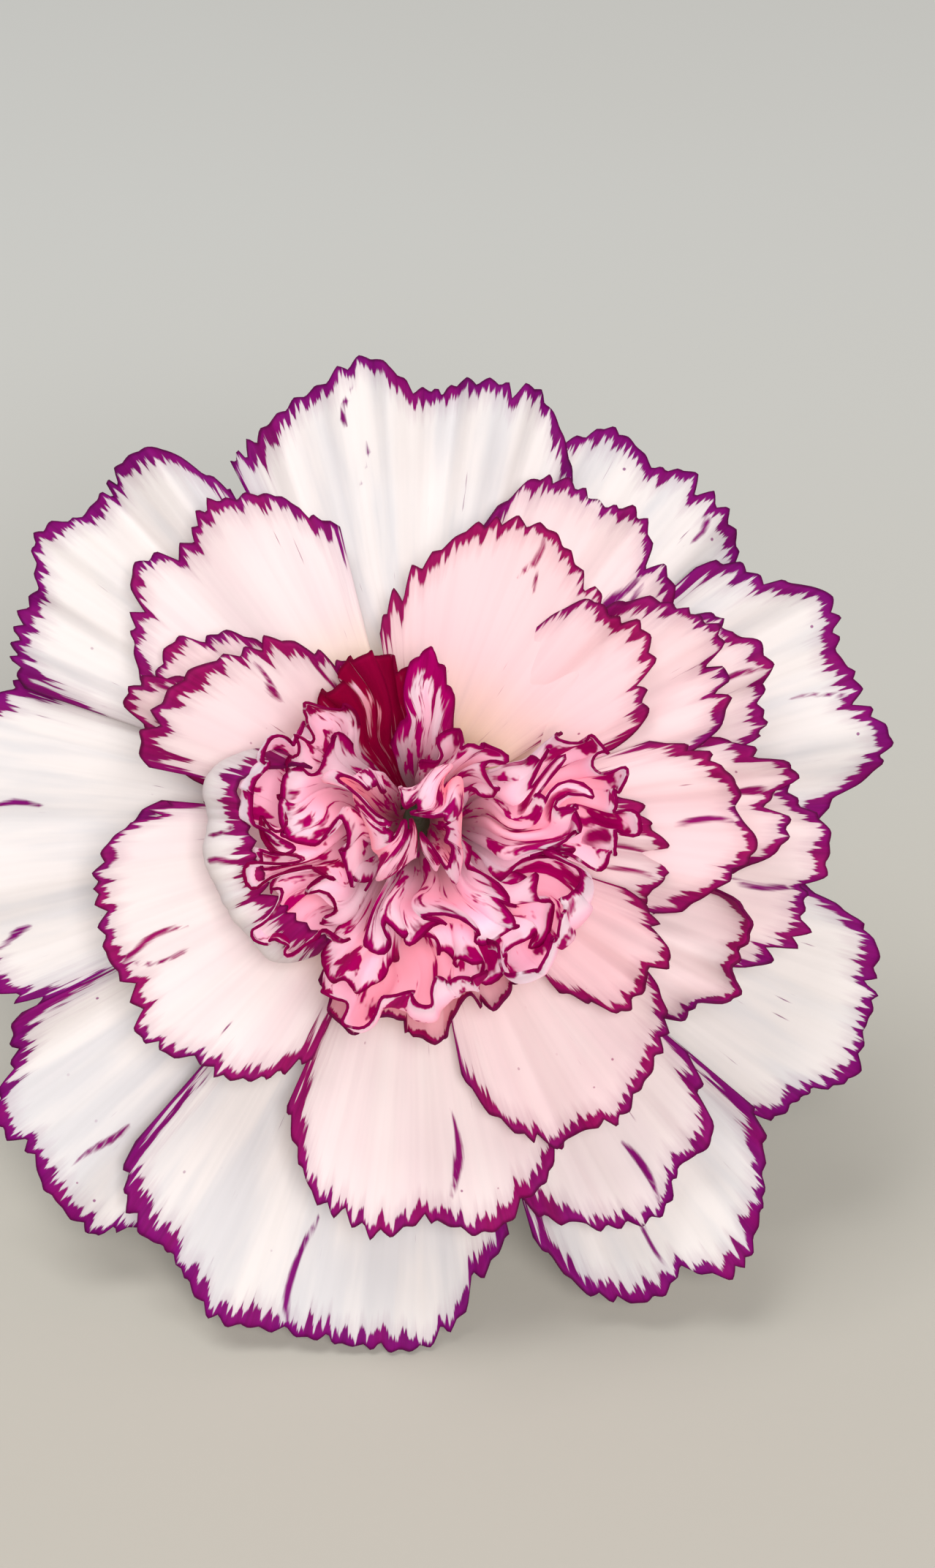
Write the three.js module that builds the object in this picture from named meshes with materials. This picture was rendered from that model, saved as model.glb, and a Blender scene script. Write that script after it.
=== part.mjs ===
// Cut carnation lying on its side: a double bloom of fringed petals in a tubular calyx, on a leafy stem.
// Millimetres, +Z up. The bloom faces -Y and upwards, and the stem runs away along +Y.
// The bloom, calyx and bracts are built in the bloom's own frame: its axis is +Z, the calyx mouth is at 0.
import * as THREE from "three";

// ---------- driving dimensions ----------
const BLOOM_RADIUS = 42; // axis to the margin of an average guard petal
const BLOOM_TILT = 28; // degrees the bloom's axis points above the horizontal
const BLOOM_SINK = 0.4; // how far the lowest guard petal would pass the surface if it did not bend

const PETAL_THICKNESS = 0.5;
const CLAW_THICKNESS = 0.3;
const CLAW_WIDTH = 2.2;
const CLAW_CORE = 1.4; // radius of the innermost ring of claws

const CALYX_BORE = 6.5; // inner radius
const CALYX_WALL = 0.8;
const CALYX_LENGTH = 26;
const CALYX_TEETH = 5;
const TOOTH_HEIGHT = 4.4;
const TOOTH_CLEARANCE = 0.7; // tooth tips end this far below the mouth

const BRACT_HEIGHT = 9;
const BRACT_SPAN = 56; // degrees either side of the bract's middle
const BRACT_THICKNESS = 0.6;

const STEM_RADIUS = 2.2;
const STEM_REACH = 150; // horizontal distance from the bloom's centre to the cut end
const STEM_LANDING = 92; // horizontal distance at which the stem comes down to the surface
const STEM_DRIFT = 9; // sideways drift of the cut end
const JOINT_SWELL = 1.1; // a leaf joint is this much thicker than the stem

const LEAF_LENGTH = 58;
const LEAF_WIDTH = 5.4;
const LEAF_THICKNESS = 0.6;
const LEAF_CURL = 95; // degrees the tip turns away from the stem
const CLASP_SPAN = 62; // degrees either side of a leaf's middle that its foot reaches round the stem

const GAP = 0.3; // clearance between pieces that touch

// ---------- sizes that follow ----------
const TILT = THREE.MathUtils.degToRad(BLOOM_TILT);
const CALYX_RADIUS = CALYX_BORE + CALYX_WALL;
const MOUTH_CLAW_RADIUS = CALYX_BORE - GAP - CLAW_THICKNESS / 2; // outermost ring of claws
const CUP_HEIGHT = CALYX_BORE * 0.7; // the calyx narrows to the stem over this height
const SEAT_RADIUS = CALYX_BORE - GAP; // the stem's top, on which the claws stand
const SEAT_LEVEL = -CALYX_LENGTH + CUP_HEIGHT;
const CLAW_BASE = SEAT_LEVEL + GAP;
const NECK_LEVEL = -CALYX_LENGTH - 0.6; // just under the calyx, where the stem starts to bend
const JOINT_RADIUS = STEM_RADIUS + JOINT_SWELL;
const BRACT_STAGGER = (BRACT_THICKNESS + GAP) * 1.5; // over their thickness, because they slope on the cup
const BLOOM_HEIGHT = BLOOM_RADIUS * Math.cos(TILT) - BLOOM_SINK;

// Ten rings of petals, outermost first. flare is the angle from the axis at which the petals leave the calyx,
// spread the angle they reach at full length. Petals of one ring stand side by side, each as
// [bearing in degrees, half its span in degrees, reach as a share of BLOOM_RADIUS].
const RINGS = [
  { kind: "guard", flare: 50, spread: 98, wave: 1.2, petals: [
    [52, 21, 0.845], [-27, 18, 0.955], [-135, 18, 1.0], [-166, 12, 0.9],
  ] },
  { kind: "guard", flare: 44, spread: 90, wave: 1.2, petals: [
    [91, 25, 0.885], [19.5, 23, 0.94], [-57, 17, 1.05], [-104, 26, 1.02], [183, 22, 0.95], [140, 20, 0.93],
  ] },
  { kind: "ring", flare: 37, spread: 77, wave: 0.9, petals: [
    [57, 18, 0.72], [25, 12, 0.735], [-8, 16, 0.79], [-58, 17, 0.87], [-151, 34, 0.58], [131, 27, 0.71],
  ] },
  { kind: "ring", flare: 31, spread: 67, wave: 0.9, petals: [
    [147, 16, 0.57], [31, 15, 0.675], [3, 12, 0.72], [-25, 14, 0.69], [-87, 26, 0.785], [-155, 30, 0.5],
  ] },
  { kind: "ring", flare: 26, spread: 57, wave: 0.8, petals: [
    [38, 16, 0.55], [-3, 18, 0.64], [-55, 23, 0.68], [-149, 37, 0.64], [155, 14, 0.57],
  ] },
  { kind: "ring", flare: 20, spread: 46, wave: 0.7, petals: [
    [65, 32, 0.575], [6, 19, 0.5], [-33, 14, 0.57], [-85, 30, 0.42], [-165, 38, 0.38], [112, 14, 0.46],
  ] },
  { kind: "heart", flare: 15, spread: 36, wave: 0.6, petals: [
    [22, 27, 0.41], [-35, 27, 0.38], [-93, 27, 0.38], [168, 29, 0.34], [103, 29, 0.31], [-142, 18, 0.36],
  ] },
  { kind: "heart", flare: 11, spread: 27, wave: 0.5, petals: [
    [20, 33, 0.31], [-55, 33, 0.3], [-163, 37, 0.28], [88, 30, 0.28], [-106, 15, 0.3], [136, 14, 0.27],
  ] },
  { kind: "heart", flare: 7, spread: 18, wave: 0.4, petals: [
    [50, 54, 0.19], [-64, 52, 0.21], [176, 54, 0.2],
  ] },
  { kind: "heart", flare: 3, spread: 10, wave: 0.3, petals: [
    [10, 80, 0.14], [188, 80, 0.13],
  ] },
];
const COLUMNS = { guard: 12, ring: 10, heart: 8 }; // facets across a petal
const LIMB_STEPS = [0, 0.28, 0.55, 0.8, 1]; // shares of a petal's free length
const SPREAD_LENGTH = 26; // free length over which a petal turns from its flare to its spread
const TOOTH_DEPTH = 0.9; // fringe of the margin
const ROUNDING = 0.22; // share by which a petal is shorter at its sides than in the middle

// Leaves: [share of the stem's free run, degrees round the stem, sideways curl in mm, share of LEAF_LENGTH]
const LEAVES = [
  [0.28, 52, 4, 0.6],
  [0.28, 232, -3, 0.66],
  [0.76, 10, 8, 1],
  [0.76, 170, -6, 0.9],
];

// ---------- materials ----------
function finish(colour, roughness) {
  return new THREE.MeshStandardMaterial({ color: colour, roughness, metalness: 0, side: THREE.DoubleSide });
}

const FINISHES = {
  guard: finish(0xf4efee, 0.6),
  ring: finish(0xf6dedf, 0.6),
  heart: finish(0xeea3ad, 0.6),
  calyx: finish(0x7f9d76, 0.5),
  stem: finish(0x86a47c, 0.5),
  leaf: finish(0x7d9b80, 0.55),
};

// ---------- shape helpers ----------
const bearing = (degrees) => THREE.MathUtils.degToRad(degrees);
const lerp = THREE.MathUtils.lerp;
const smooth = (x) => THREE.MathUtils.smoothstep(x, 0, 1);

// The bloom's frame, laid down: its axis tips from +Z towards -Y and it is lifted off the surface.
const bloomFrame = new THREE.Matrix4()
  .makeTranslation(0, 0, BLOOM_HEIGHT)
  .multiply(new THREE.Matrix4().makeRotationX(Math.PI / 2 - TILT));

// Geometry from points and triangles, with flat facets.
function solid(points, triangles) {
  const geometry = new THREE.BufferGeometry().setFromPoints(points);
  geometry.setIndex(triangles);
  geometry.computeVertexNormals();
  return geometry;
}

// A thin closed sheet round a grid of points, grid[row][column]. thick(row) is its full thickness there.
function sheet(grid, thick) {
  const rows = grid.length;
  const columns = grid[0].length;
  const front = [];
  const back = [];
  for (let i = 0; i < rows; i++) {
    for (let j = 0; j < columns; j++) {
      const along = grid[Math.min(i + 1, rows - 1)][j].clone().sub(grid[Math.max(i - 1, 0)][j]);
      const across = grid[i][Math.min(j + 1, columns - 1)].clone().sub(grid[i][Math.max(j - 1, 0)]);
      const offset = along.cross(across).normalize().multiplyScalar(thick(i) / 2);
      front.push(grid[i][j].clone().add(offset));
      back.push(grid[i][j].clone().sub(offset));
    }
  }
  const count = rows * columns;
  const at = (i, j) => i * columns + j;
  const triangles = [];
  const quad = (a, b, c, d) => triangles.push(a, b, c, a, c, d);
  for (let i = 0; i + 1 < rows; i++) {
    for (let j = 0; j + 1 < columns; j++) {
      quad(at(i, j), at(i + 1, j), at(i + 1, j + 1), at(i, j + 1));
      quad(count + at(i, j), count + at(i, j + 1), count + at(i + 1, j + 1), count + at(i + 1, j));
    }
    const last = columns - 1;
    quad(at(i + 1, 0), at(i, 0), count + at(i, 0), count + at(i + 1, 0));
    quad(at(i, last), at(i + 1, last), count + at(i + 1, last), count + at(i, last));
  }
  for (let j = 0; j + 1 < columns; j++) {
    const last = rows - 1;
    quad(at(0, j), at(0, j + 1), count + at(0, j + 1), count + at(0, j));
    quad(at(last, j + 1), at(last, j), count + at(last, j), count + at(last, j + 1));
  }
  return solid([...front, ...back], triangles);
}

// ---------- petals ----------
const rings = RINGS.length;

// Where a petal of this ring is, at a free length from the mouth: distance from the axis and height.
function petalProfile(ring, length) {
  const { flare, spread } = RINGS[ring];
  const turned = Math.min(length / SPREAD_LENGTH, 1.6);
  const angle = bearing(lerp(flare, spread, smooth(Math.min(turned, 1))));
  const foot = lerp(MOUTH_CLAW_RADIUS, CLAW_CORE, ring / (rings - 1));
  return { radius: foot + length * Math.sin(angle), height: length * Math.cos(angle) };
}

// The free length at which a petal of this ring is as far from the axis as its reach.
function freeLength(ring, reach) {
  let length = 4;
  while (petalProfile(ring, length).radius < reach) length += 0.1;
  return length;
}

// Points of one petal: a narrow claw down in the calyx and a limb that fans out to a fringed margin.
function petalGrid(ring, [middle, halfSpan, reachShare], seed) {
  const { kind, wave } = RINGS[ring];
  const columns = COLUMNS[kind];
  const full = freeLength(ring, reachShare * BLOOM_RADIUS);
  const foot = petalProfile(ring, 0).radius;
  const clawSpan = Math.min(CLAW_WIDTH / 2 / foot, bearing(halfSpan) * 0.75);
  const row = (share, level) => {
    const points = [];
    for (let j = 0; j <= columns; j++) {
      const across = (2 * j) / columns - 1;
      const rounding = 1 - ROUNDING * Math.abs(across) ** 3 * share;
      const fringe = share === 1 && j % 2 ? TOOTH_DEPTH : 0;
      const length = share * full * rounding - fringe;
      const { radius, height } = petalProfile(ring, length);
      const span = lerp(clawSpan, bearing(halfSpan), smooth(share / 0.5));
      const turn = bearing(middle) + across * span;
      const ripple = wave * share ** 2 * Math.sin(across * 6 + seed * 2.1);
      points.push(
        new THREE.Vector3(radius * Math.cos(turn), radius * Math.sin(turn), height + level + ripple),
      );
    }
    return points;
  };
  return [row(0, CLAW_BASE), ...LIMB_STEPS.map((share) => row(share, 0))];
}

// A petal that would pass through the surface bends along it instead.
function layDown(point) {
  point.applyMatrix4(bloomFrame);
  point.z = Math.max(point.z, PETAL_THICKNESS / 4);
  return point;
}

function petal(ring, shape, seed) {
  const grid = petalGrid(ring, shape, seed).map((points) => points.map(layDown));
  return sheet(grid, (i) => (i < 2 ? CLAW_THICKNESS : PETAL_THICKNESS));
}

// ---------- calyx and bracts ----------
// The stem's top from its seat down: [height, radius].
const SEAT_PROFILE = [
  [SEAT_LEVEL, SEAT_RADIUS],
  [SEAT_LEVEL - CUP_HEIGHT * 0.2, SEAT_RADIUS],
  [SEAT_LEVEL - CUP_HEIGHT * 0.6, lerp(SEAT_RADIUS, STEM_RADIUS, 0.7)],
  [-CALYX_LENGTH + 0.2, STEM_RADIUS],
];

function calyx() {
  const facets = CALYX_TEETH * 6;
  const outside = [
    [-CALYX_LENGTH, STEM_RADIUS + GAP + CALYX_WALL],
    [SEAT_LEVEL - CUP_HEIGHT * 0.56, lerp(CALYX_RADIUS, STEM_RADIUS + GAP + CALYX_WALL, 0.55)],
    [SEAT_LEVEL - CUP_HEIGHT * 0.13, CALYX_RADIUS - 0.1],
    [SEAT_LEVEL * 0.66, CALYX_RADIUS + 0.2],
    [SEAT_LEVEL * 0.33, CALYX_RADIUS],
  ];
  const inside = [
    [SEAT_LEVEL * 0.33, CALYX_BORE],
    [SEAT_PROFILE[1][0], CALYX_BORE],
    [SEAT_PROFILE[2][0], SEAT_PROFILE[2][1] + GAP + 0.2],
    [-CALYX_LENGTH, STEM_RADIUS + GAP],
  ];
  const points = [];
  const around = outside.length + inside.length + 2;
  for (let k = 0; k < facets; k++) {
    const turn = (2 * Math.PI * k) / facets;
    const share = 1 - Math.abs((k % 6) - 3) / 3;
    const rim = -TOOTH_CLEARANCE - TOOTH_HEIGHT * (1 - share);
    const lip = [
      [rim, CALYX_RADIUS + 0.1],
      [rim - 0.1, CALYX_BORE + 0.2],
    ];
    for (const [height, radius] of [...outside, ...lip, ...inside]) {
      points.push(new THREE.Vector3(radius * Math.cos(turn), radius * Math.sin(turn), height));
    }
  }
  const triangles = [];
  for (let k = 0; k < facets; k++) {
    const here = k * around;
    const next = ((k + 1) % facets) * around;
    for (let m = 0; m < around; m++) {
      const up = (m + 1) % around;
      triangles.push(here + m, next + m, next + up, here + m, next + up, here + up);
    }
  }
  return solid(points, triangles).applyMatrix4(bloomFrame);
}

// One of the four short bracts that clasp the foot of the calyx. The outer pair lies over the inner pair.
function bract(index) {
  const outer = index % 2;
  const steps = 6;
  const columns = 8;
  const stand = GAP + BRACT_THICKNESS / 2 + outer * BRACT_STAGGER;
  const grid = [];
  for (let i = 0; i <= steps; i++) {
    const share = i / steps;
    const span = bearing(BRACT_SPAN) * Math.max(1 - share ** 3, 0.06);
    const height = -CALYX_LENGTH + 0.9 + share * BRACT_HEIGHT;
    const cup = smooth((height + CALYX_LENGTH) / CUP_HEIGHT);
    const radius = lerp(STEM_RADIUS + GAP + CALYX_WALL + 0.9, CALYX_RADIUS + 0.3, cup) + stand;
    const points = [];
    for (let j = 0; j <= columns; j++) {
      const turn = bearing(90 * index + 45) + ((2 * j) / columns - 1) * span;
      points.push(new THREE.Vector3(radius * Math.cos(turn), radius * Math.sin(turn), height));
    }
    grid.push(points);
  }
  return sheet(grid, () => BRACT_THICKNESS).applyMatrix4(bloomFrame);
}

// ---------- stem and leaves ----------
const stemTop = new THREE.Vector3(0, 0, NECK_LEVEL).applyMatrix4(bloomFrame);
const stemWay = new THREE.Vector3(0, Math.cos(TILT), -Math.sin(TILT));
const landing = new THREE.Vector3(STEM_DRIFT * 0.3, STEM_LANDING, JOINT_RADIUS);
const cutEnd = new THREE.Vector3(STEM_DRIFT, STEM_REACH, JOINT_RADIUS);
const approach = (STEM_LANDING - stemTop.y) * 0.42;
const stemPath = new THREE.CurvePath();
stemPath.add(
  new THREE.CubicBezierCurve3(
    stemTop,
    stemTop.clone().addScaledVector(stemWay, approach),
    landing.clone().add(new THREE.Vector3(-STEM_DRIFT * 0.14, -approach, 0)),
    landing,
  ),
);
stemPath.add(
  new THREE.CubicBezierCurve3(
    landing,
    landing.clone().add(new THREE.Vector3(STEM_DRIFT * 0.11, approach * 0.8, 0)),
    cutEnd.clone().add(new THREE.Vector3(-STEM_DRIFT * 0.25, -approach * 0.8, 0)),
    cutEnd,
  ),
);
const jointShares = [...new Set(LEAVES.map(([share]) => share))];

// Radius of the stem at a share of its free run. It swells at each pair of leaves.
function stemRadius(share) {
  const swell = jointShares.map((joint) => Math.exp(-(((share - joint) / 0.018) ** 2)));
  return STEM_RADIUS + JOINT_SWELL * Math.max(...swell);
}

// Two directions square to the stem at a point of its path: to the side, and up.
function stemSides(share) {
  const along = stemPath.getTangentAt(share);
  const side = new THREE.Vector3().crossVectors(along, new THREE.Vector3(0, 0, 1)).normalize();
  return { along, side, up: new THREE.Vector3().crossVectors(side, along) };
}

function stem() {
  const facets = 12;
  const circles = SEAT_PROFILE.map(([height, radius]) => ({
    centre: new THREE.Vector3(0, 0, height).applyMatrix4(bloomFrame),
    share: 0,
    radius,
  }));
  const stops = new Set();
  for (let i = 0; i <= 22; i++) stops.add(i / 22);
  for (const joint of jointShares) {
    for (const step of [-0.03, -0.015, 0, 0.015, 0.03]) stops.add(joint + step);
  }
  for (const share of [...stops].sort((a, b) => a - b)) {
    circles.push({ centre: stemPath.getPointAt(share), share, radius: stemRadius(share) });
  }
  const points = [];
  for (const { centre, share, radius } of circles) {
    const { side, up } = stemSides(share);
    for (let k = 0; k < facets; k++) {
      const turn = (2 * Math.PI * k) / facets;
      points.push(
        centre
          .clone()
          .addScaledVector(side, radius * Math.cos(turn))
          .addScaledVector(up, radius * Math.sin(turn)),
      );
    }
  }
  const triangles = [];
  for (let i = 0; i + 1 < circles.length; i++) {
    for (let k = 0; k < facets; k++) {
      const a = i * facets + k;
      const b = i * facets + ((k + 1) % facets);
      triangles.push(a, b + facets, b, a, a + facets, b + facets);
    }
  }
  const top = points.push(circles[0].centre) - 1;
  const end = points.push(circles.at(-1).centre) - 1;
  const lastCircle = (circles.length - 1) * facets;
  for (let k = 0; k < facets; k++) {
    const next = (k + 1) % facets;
    triangles.push(top, k, next, end, lastCircle + next, lastCircle + k);
  }
  return solid(points, triangles);
}

// A narrow channelled leaf. Its foot clasps a joint of the stem, and its blade curls away towards the tip.
function leaf([share, around, curl, size]) {
  const { along, side, up } = stemSides(share);
  const root = stemPath.getPointAt(share);
  const away = side
    .clone()
    .multiplyScalar(Math.cos(bearing(around)))
    .addScaledVector(up, Math.sin(bearing(around)));
  const across = new THREE.Vector3().crossVectors(along, away);
  const steps = 12;
  const columns = 6;
  const clasp = JOINT_RADIUS + GAP + LEAF_THICKNESS / 2;
  const grid = [];
  let forward = 0;
  let lift = clasp;
  for (let i = 0; i <= steps; i++) {
    const t = i / steps;
    const width = LEAF_WIDTH * (t < 0.5 ? 1 : Math.max(1 - ((t - 0.5) / 0.5) ** 1.6, 0.08));
    const hug = Math.max(1 - t * 5, 0);
    const points = [];
    for (let j = 0; j <= columns; j++) {
      const v = (2 * j) / columns - 1;
      const turn = v * bearing(CLASP_SPAN);
      const bladeAcross = (v * width) / 2;
      const bladeLift = lift + 0.3 * width * v * v * (1 - 0.5 * t);
      const point = root
        .clone()
        .addScaledVector(along, -forward)
        .addScaledVector(across, lerp(bladeAcross, clasp * Math.sin(turn), hug) + curl * t ** 2)
        .addScaledVector(away, lerp(bladeLift, clasp * Math.cos(turn), hug));
      point.z = Math.max(point.z, LEAF_THICKNESS * 0.6);
      points.push(point);
    }
    grid.push(points);
    const lean = bearing(lerp(10, LEAF_CURL, t ** 1.4));
    forward += ((size * LEAF_LENGTH) / steps) * Math.cos(lean);
    lift += ((size * LEAF_LENGTH) / steps) * Math.sin(lean);
  }
  return sheet(grid, () => LEAF_THICKNESS);
}

// ---------- the flower ----------
const carnation = new THREE.Group();
carnation.name = "cut_carnation";

function add(name, geometry, material) {
  const mesh = new THREE.Mesh(geometry, material);
  mesh.name = name;
  carnation.add(mesh);
}

const numbered = (name, number) => `${name}_${String(number).padStart(2, "0")}`;

const made = { guard: 0, ring: 0, heart: 0 };
let seed = 0;
RINGS.forEach(({ kind, petals }, ring) => {
  for (const shape of petals) {
    made[kind] += 1;
    add(numbered(`${kind}_petal`, made[kind]), petal(ring, shape, seed), FINISHES[kind]);
    seed += 1;
  }
});
add("calyx", calyx(), FINISHES.calyx);
for (let index = 0; index < 4; index++) {
  add(`bract_${index + 1}`, bract(index), FINISHES.calyx);
}
add("stem", stem(), FINISHES.stem);
LEAVES.forEach((shape, index) => add(`leaf_${index + 1}`, leaf(shape), FINISHES.leaf));

// The origin is under the middle of the whole flower, on the surface it lies on.
const extent = new THREE.Box3().setFromObject(carnation);
const middle = extent.getCenter(new THREE.Vector3());
for (const mesh of carnation.children) {
  mesh.geometry.translate(-middle.x, -middle.y, -extent.min.z);
}

export default carnation;
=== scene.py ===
"""Cut carnation lying on its side: a white picotee bloom, pink inside, with calyx, bracts, stem and leaves.

Lengths are in millimetres until a point is placed, and in metres in the scene. The petals are shaped in the
bloom's own frame, whose axis is +Z with the calyx mouth at 0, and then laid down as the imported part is.
"""

import logging
import math
from dataclasses import dataclass, field
from enum import Enum

import bmesh
import bpy
import numpy as np
from mathutils import Matrix, Vector


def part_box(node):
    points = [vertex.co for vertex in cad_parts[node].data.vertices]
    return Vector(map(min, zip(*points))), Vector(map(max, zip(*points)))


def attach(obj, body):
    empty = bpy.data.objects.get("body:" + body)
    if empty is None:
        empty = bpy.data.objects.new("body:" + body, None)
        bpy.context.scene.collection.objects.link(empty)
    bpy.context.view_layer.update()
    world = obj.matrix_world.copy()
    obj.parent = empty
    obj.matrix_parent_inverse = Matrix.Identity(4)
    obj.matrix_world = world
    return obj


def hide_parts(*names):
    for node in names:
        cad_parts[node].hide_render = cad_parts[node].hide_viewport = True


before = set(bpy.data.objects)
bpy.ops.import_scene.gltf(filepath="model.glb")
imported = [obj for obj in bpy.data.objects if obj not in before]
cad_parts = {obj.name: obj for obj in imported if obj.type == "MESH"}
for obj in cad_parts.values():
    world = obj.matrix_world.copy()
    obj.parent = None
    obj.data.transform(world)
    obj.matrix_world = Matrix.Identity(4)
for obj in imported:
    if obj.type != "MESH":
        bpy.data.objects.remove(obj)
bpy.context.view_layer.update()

logging.basicConfig(level=logging.INFO, format="%(message)s")
log = logging.getLogger("carnation")

Socket = bpy.types.NodeSocket
Value = bpy.types.NodeSocket | float
Tone = bpy.types.NodeSocket | tuple[float, float, float, float]
Place = tuple[Value, Value, Value]  # distances across and along a piece, and its seed
Spread = np.ndarray | float  # one value for each point of a grid, or one for them all
Waves = list[tuple[float, float, float]]  # each part's turns, weight and phase

MM = 0.001
GAP = 0.3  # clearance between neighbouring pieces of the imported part

# ---------- sizes of the part, in millimetres and degrees ----------
BLOOM_RADIUS = 42.0
BLOOM_TILT = 28.0  # the bloom's axis above the surface
BLOOM_SINK = 0.4  # the bloom lies this much lower than one whose radius just meets the surface
CLAW_WIDTH = 2.2
CLAW_CORE = 1.4  # radius of the innermost ring of claws
CLAW_RIM = 6.05  # radius of the outermost ring of claws
CALYX_BORE = 6.5
CALYX_WALL = 0.8
CALYX_LENGTH = 26.0
STEM_RADIUS = 2.2
CALYX_RADIUS = CALYX_BORE + CALYX_WALL
CALYX_FOOT = STEM_RADIUS + GAP + CALYX_WALL
CUP_HEIGHT = CALYX_BORE * 0.7
SEAT_LEVEL = -CALYX_LENGTH + CUP_HEIGHT
SEAT_RADIUS = CALYX_BORE - GAP
CLAW_BASE = SEAT_LEVEL + GAP
NECK_LEVEL = -CALYX_LENGTH - 0.6  # just under the calyx, where the stem starts to bend
BLOOM_HEIGHT = BLOOM_RADIUS * math.cos(math.radians(BLOOM_TILT)) - BLOOM_SINK
SPREAD_LENGTH = 26.0  # a petal has turned to its full spread at this free length
VIEW_DISTANCE = 330.0  # from the bloom's face to the camera
FACE_LEVEL = 8.0  # height over the calyx mouth of the plane in which the petals' reaches are seen
PETAL_SHEET = 0.22  # thickness of a real petal's blade
SURFACE_REST = 0.15  # an outermost petal that lies on the surface has its middle plane this high
SURFACE_STAGGER = 0.25  # and each ring inside it this much higher

# Height and outer radius of the calyx, from its foot to its mouth.
CALYX_OUTLINE = (
    (-CALYX_LENGTH, CALYX_FOOT),
    (SEAT_LEVEL - CUP_HEIGHT * 0.56, CALYX_RADIUS + (CALYX_FOOT - CALYX_RADIUS) * 0.45),
    (SEAT_LEVEL - CUP_HEIGHT * 0.13, CALYX_RADIUS - 0.1),
    (SEAT_LEVEL * 0.66, CALYX_RADIUS + 0.2),
    (SEAT_LEVEL * 0.33, CALYX_RADIUS),
    (0.0, CALYX_RADIUS + 0.1),
)
# Height and radius of the stem's top, from the middle of its seat down.
SEAT_OUTLINE = (
    (SEAT_LEVEL, 0.0),
    (SEAT_LEVEL, SEAT_RADIUS),
    (SEAT_LEVEL - CUP_HEIGHT * 0.2, SEAT_RADIUS),
    (SEAT_LEVEL - CUP_HEIGHT * 0.6, SEAT_RADIUS + (STEM_RADIUS - SEAT_RADIUS) * 0.7),
    (-CALYX_LENGTH + 0.2, STEM_RADIUS),
)


def smooth(x: np.ndarray | float) -> np.ndarray | float:
    """Smooth step from 0 to 1."""
    t = np.clip(x, 0.0, 1.0)
    return t * t * (3.0 - 2.0 * t)


def linear(hex_colour: str) -> tuple[float, float, float, float]:
    """Turns an sRGB hex colour into linear values.

    Args:
        hex_colour: the colour as "#RRGGBB".

    Returns:
        Red, green, blue and alpha for a shader socket.
    """
    parts = [int(hex_colour[i : i + 2], 16) / 255 for i in (1, 3, 5)]
    return (*(c / 12.92 if c <= 0.04045 else ((c + 0.055) / 1.055) ** 2.4 for c in parts), 1.0)


# ---------- node trees ----------
def add_node(
    tree: bpy.types.NodeTree, kind: str, settings: dict | None = None, **links: object
) -> bpy.types.Node:
    """Adds a node with its settings and links.

    Args:
        tree: the node tree to add to.
        kind: the node's type name without its ShaderNode prefix.
        settings: attributes set on the node, such as operation or data_type.
        links: input name, or i0, i1 for an input by number, to a value or to an output socket.

    Returns:
        The new node.
    """
    node = tree.nodes.new(f"ShaderNode{kind}")
    for name, value in (settings or {}).items():
        setattr(node, name, value)
    for name, value in links.items():
        if name[0] == "i" and name[1:].isdigit():
            socket = node.inputs[int(name[1:])]
        else:
            socket = node.inputs[name.replace("_", " ")]
        if isinstance(value, Socket):
            tree.links.new(value, socket)
        else:
            socket.default_value = value
    return node


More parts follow.
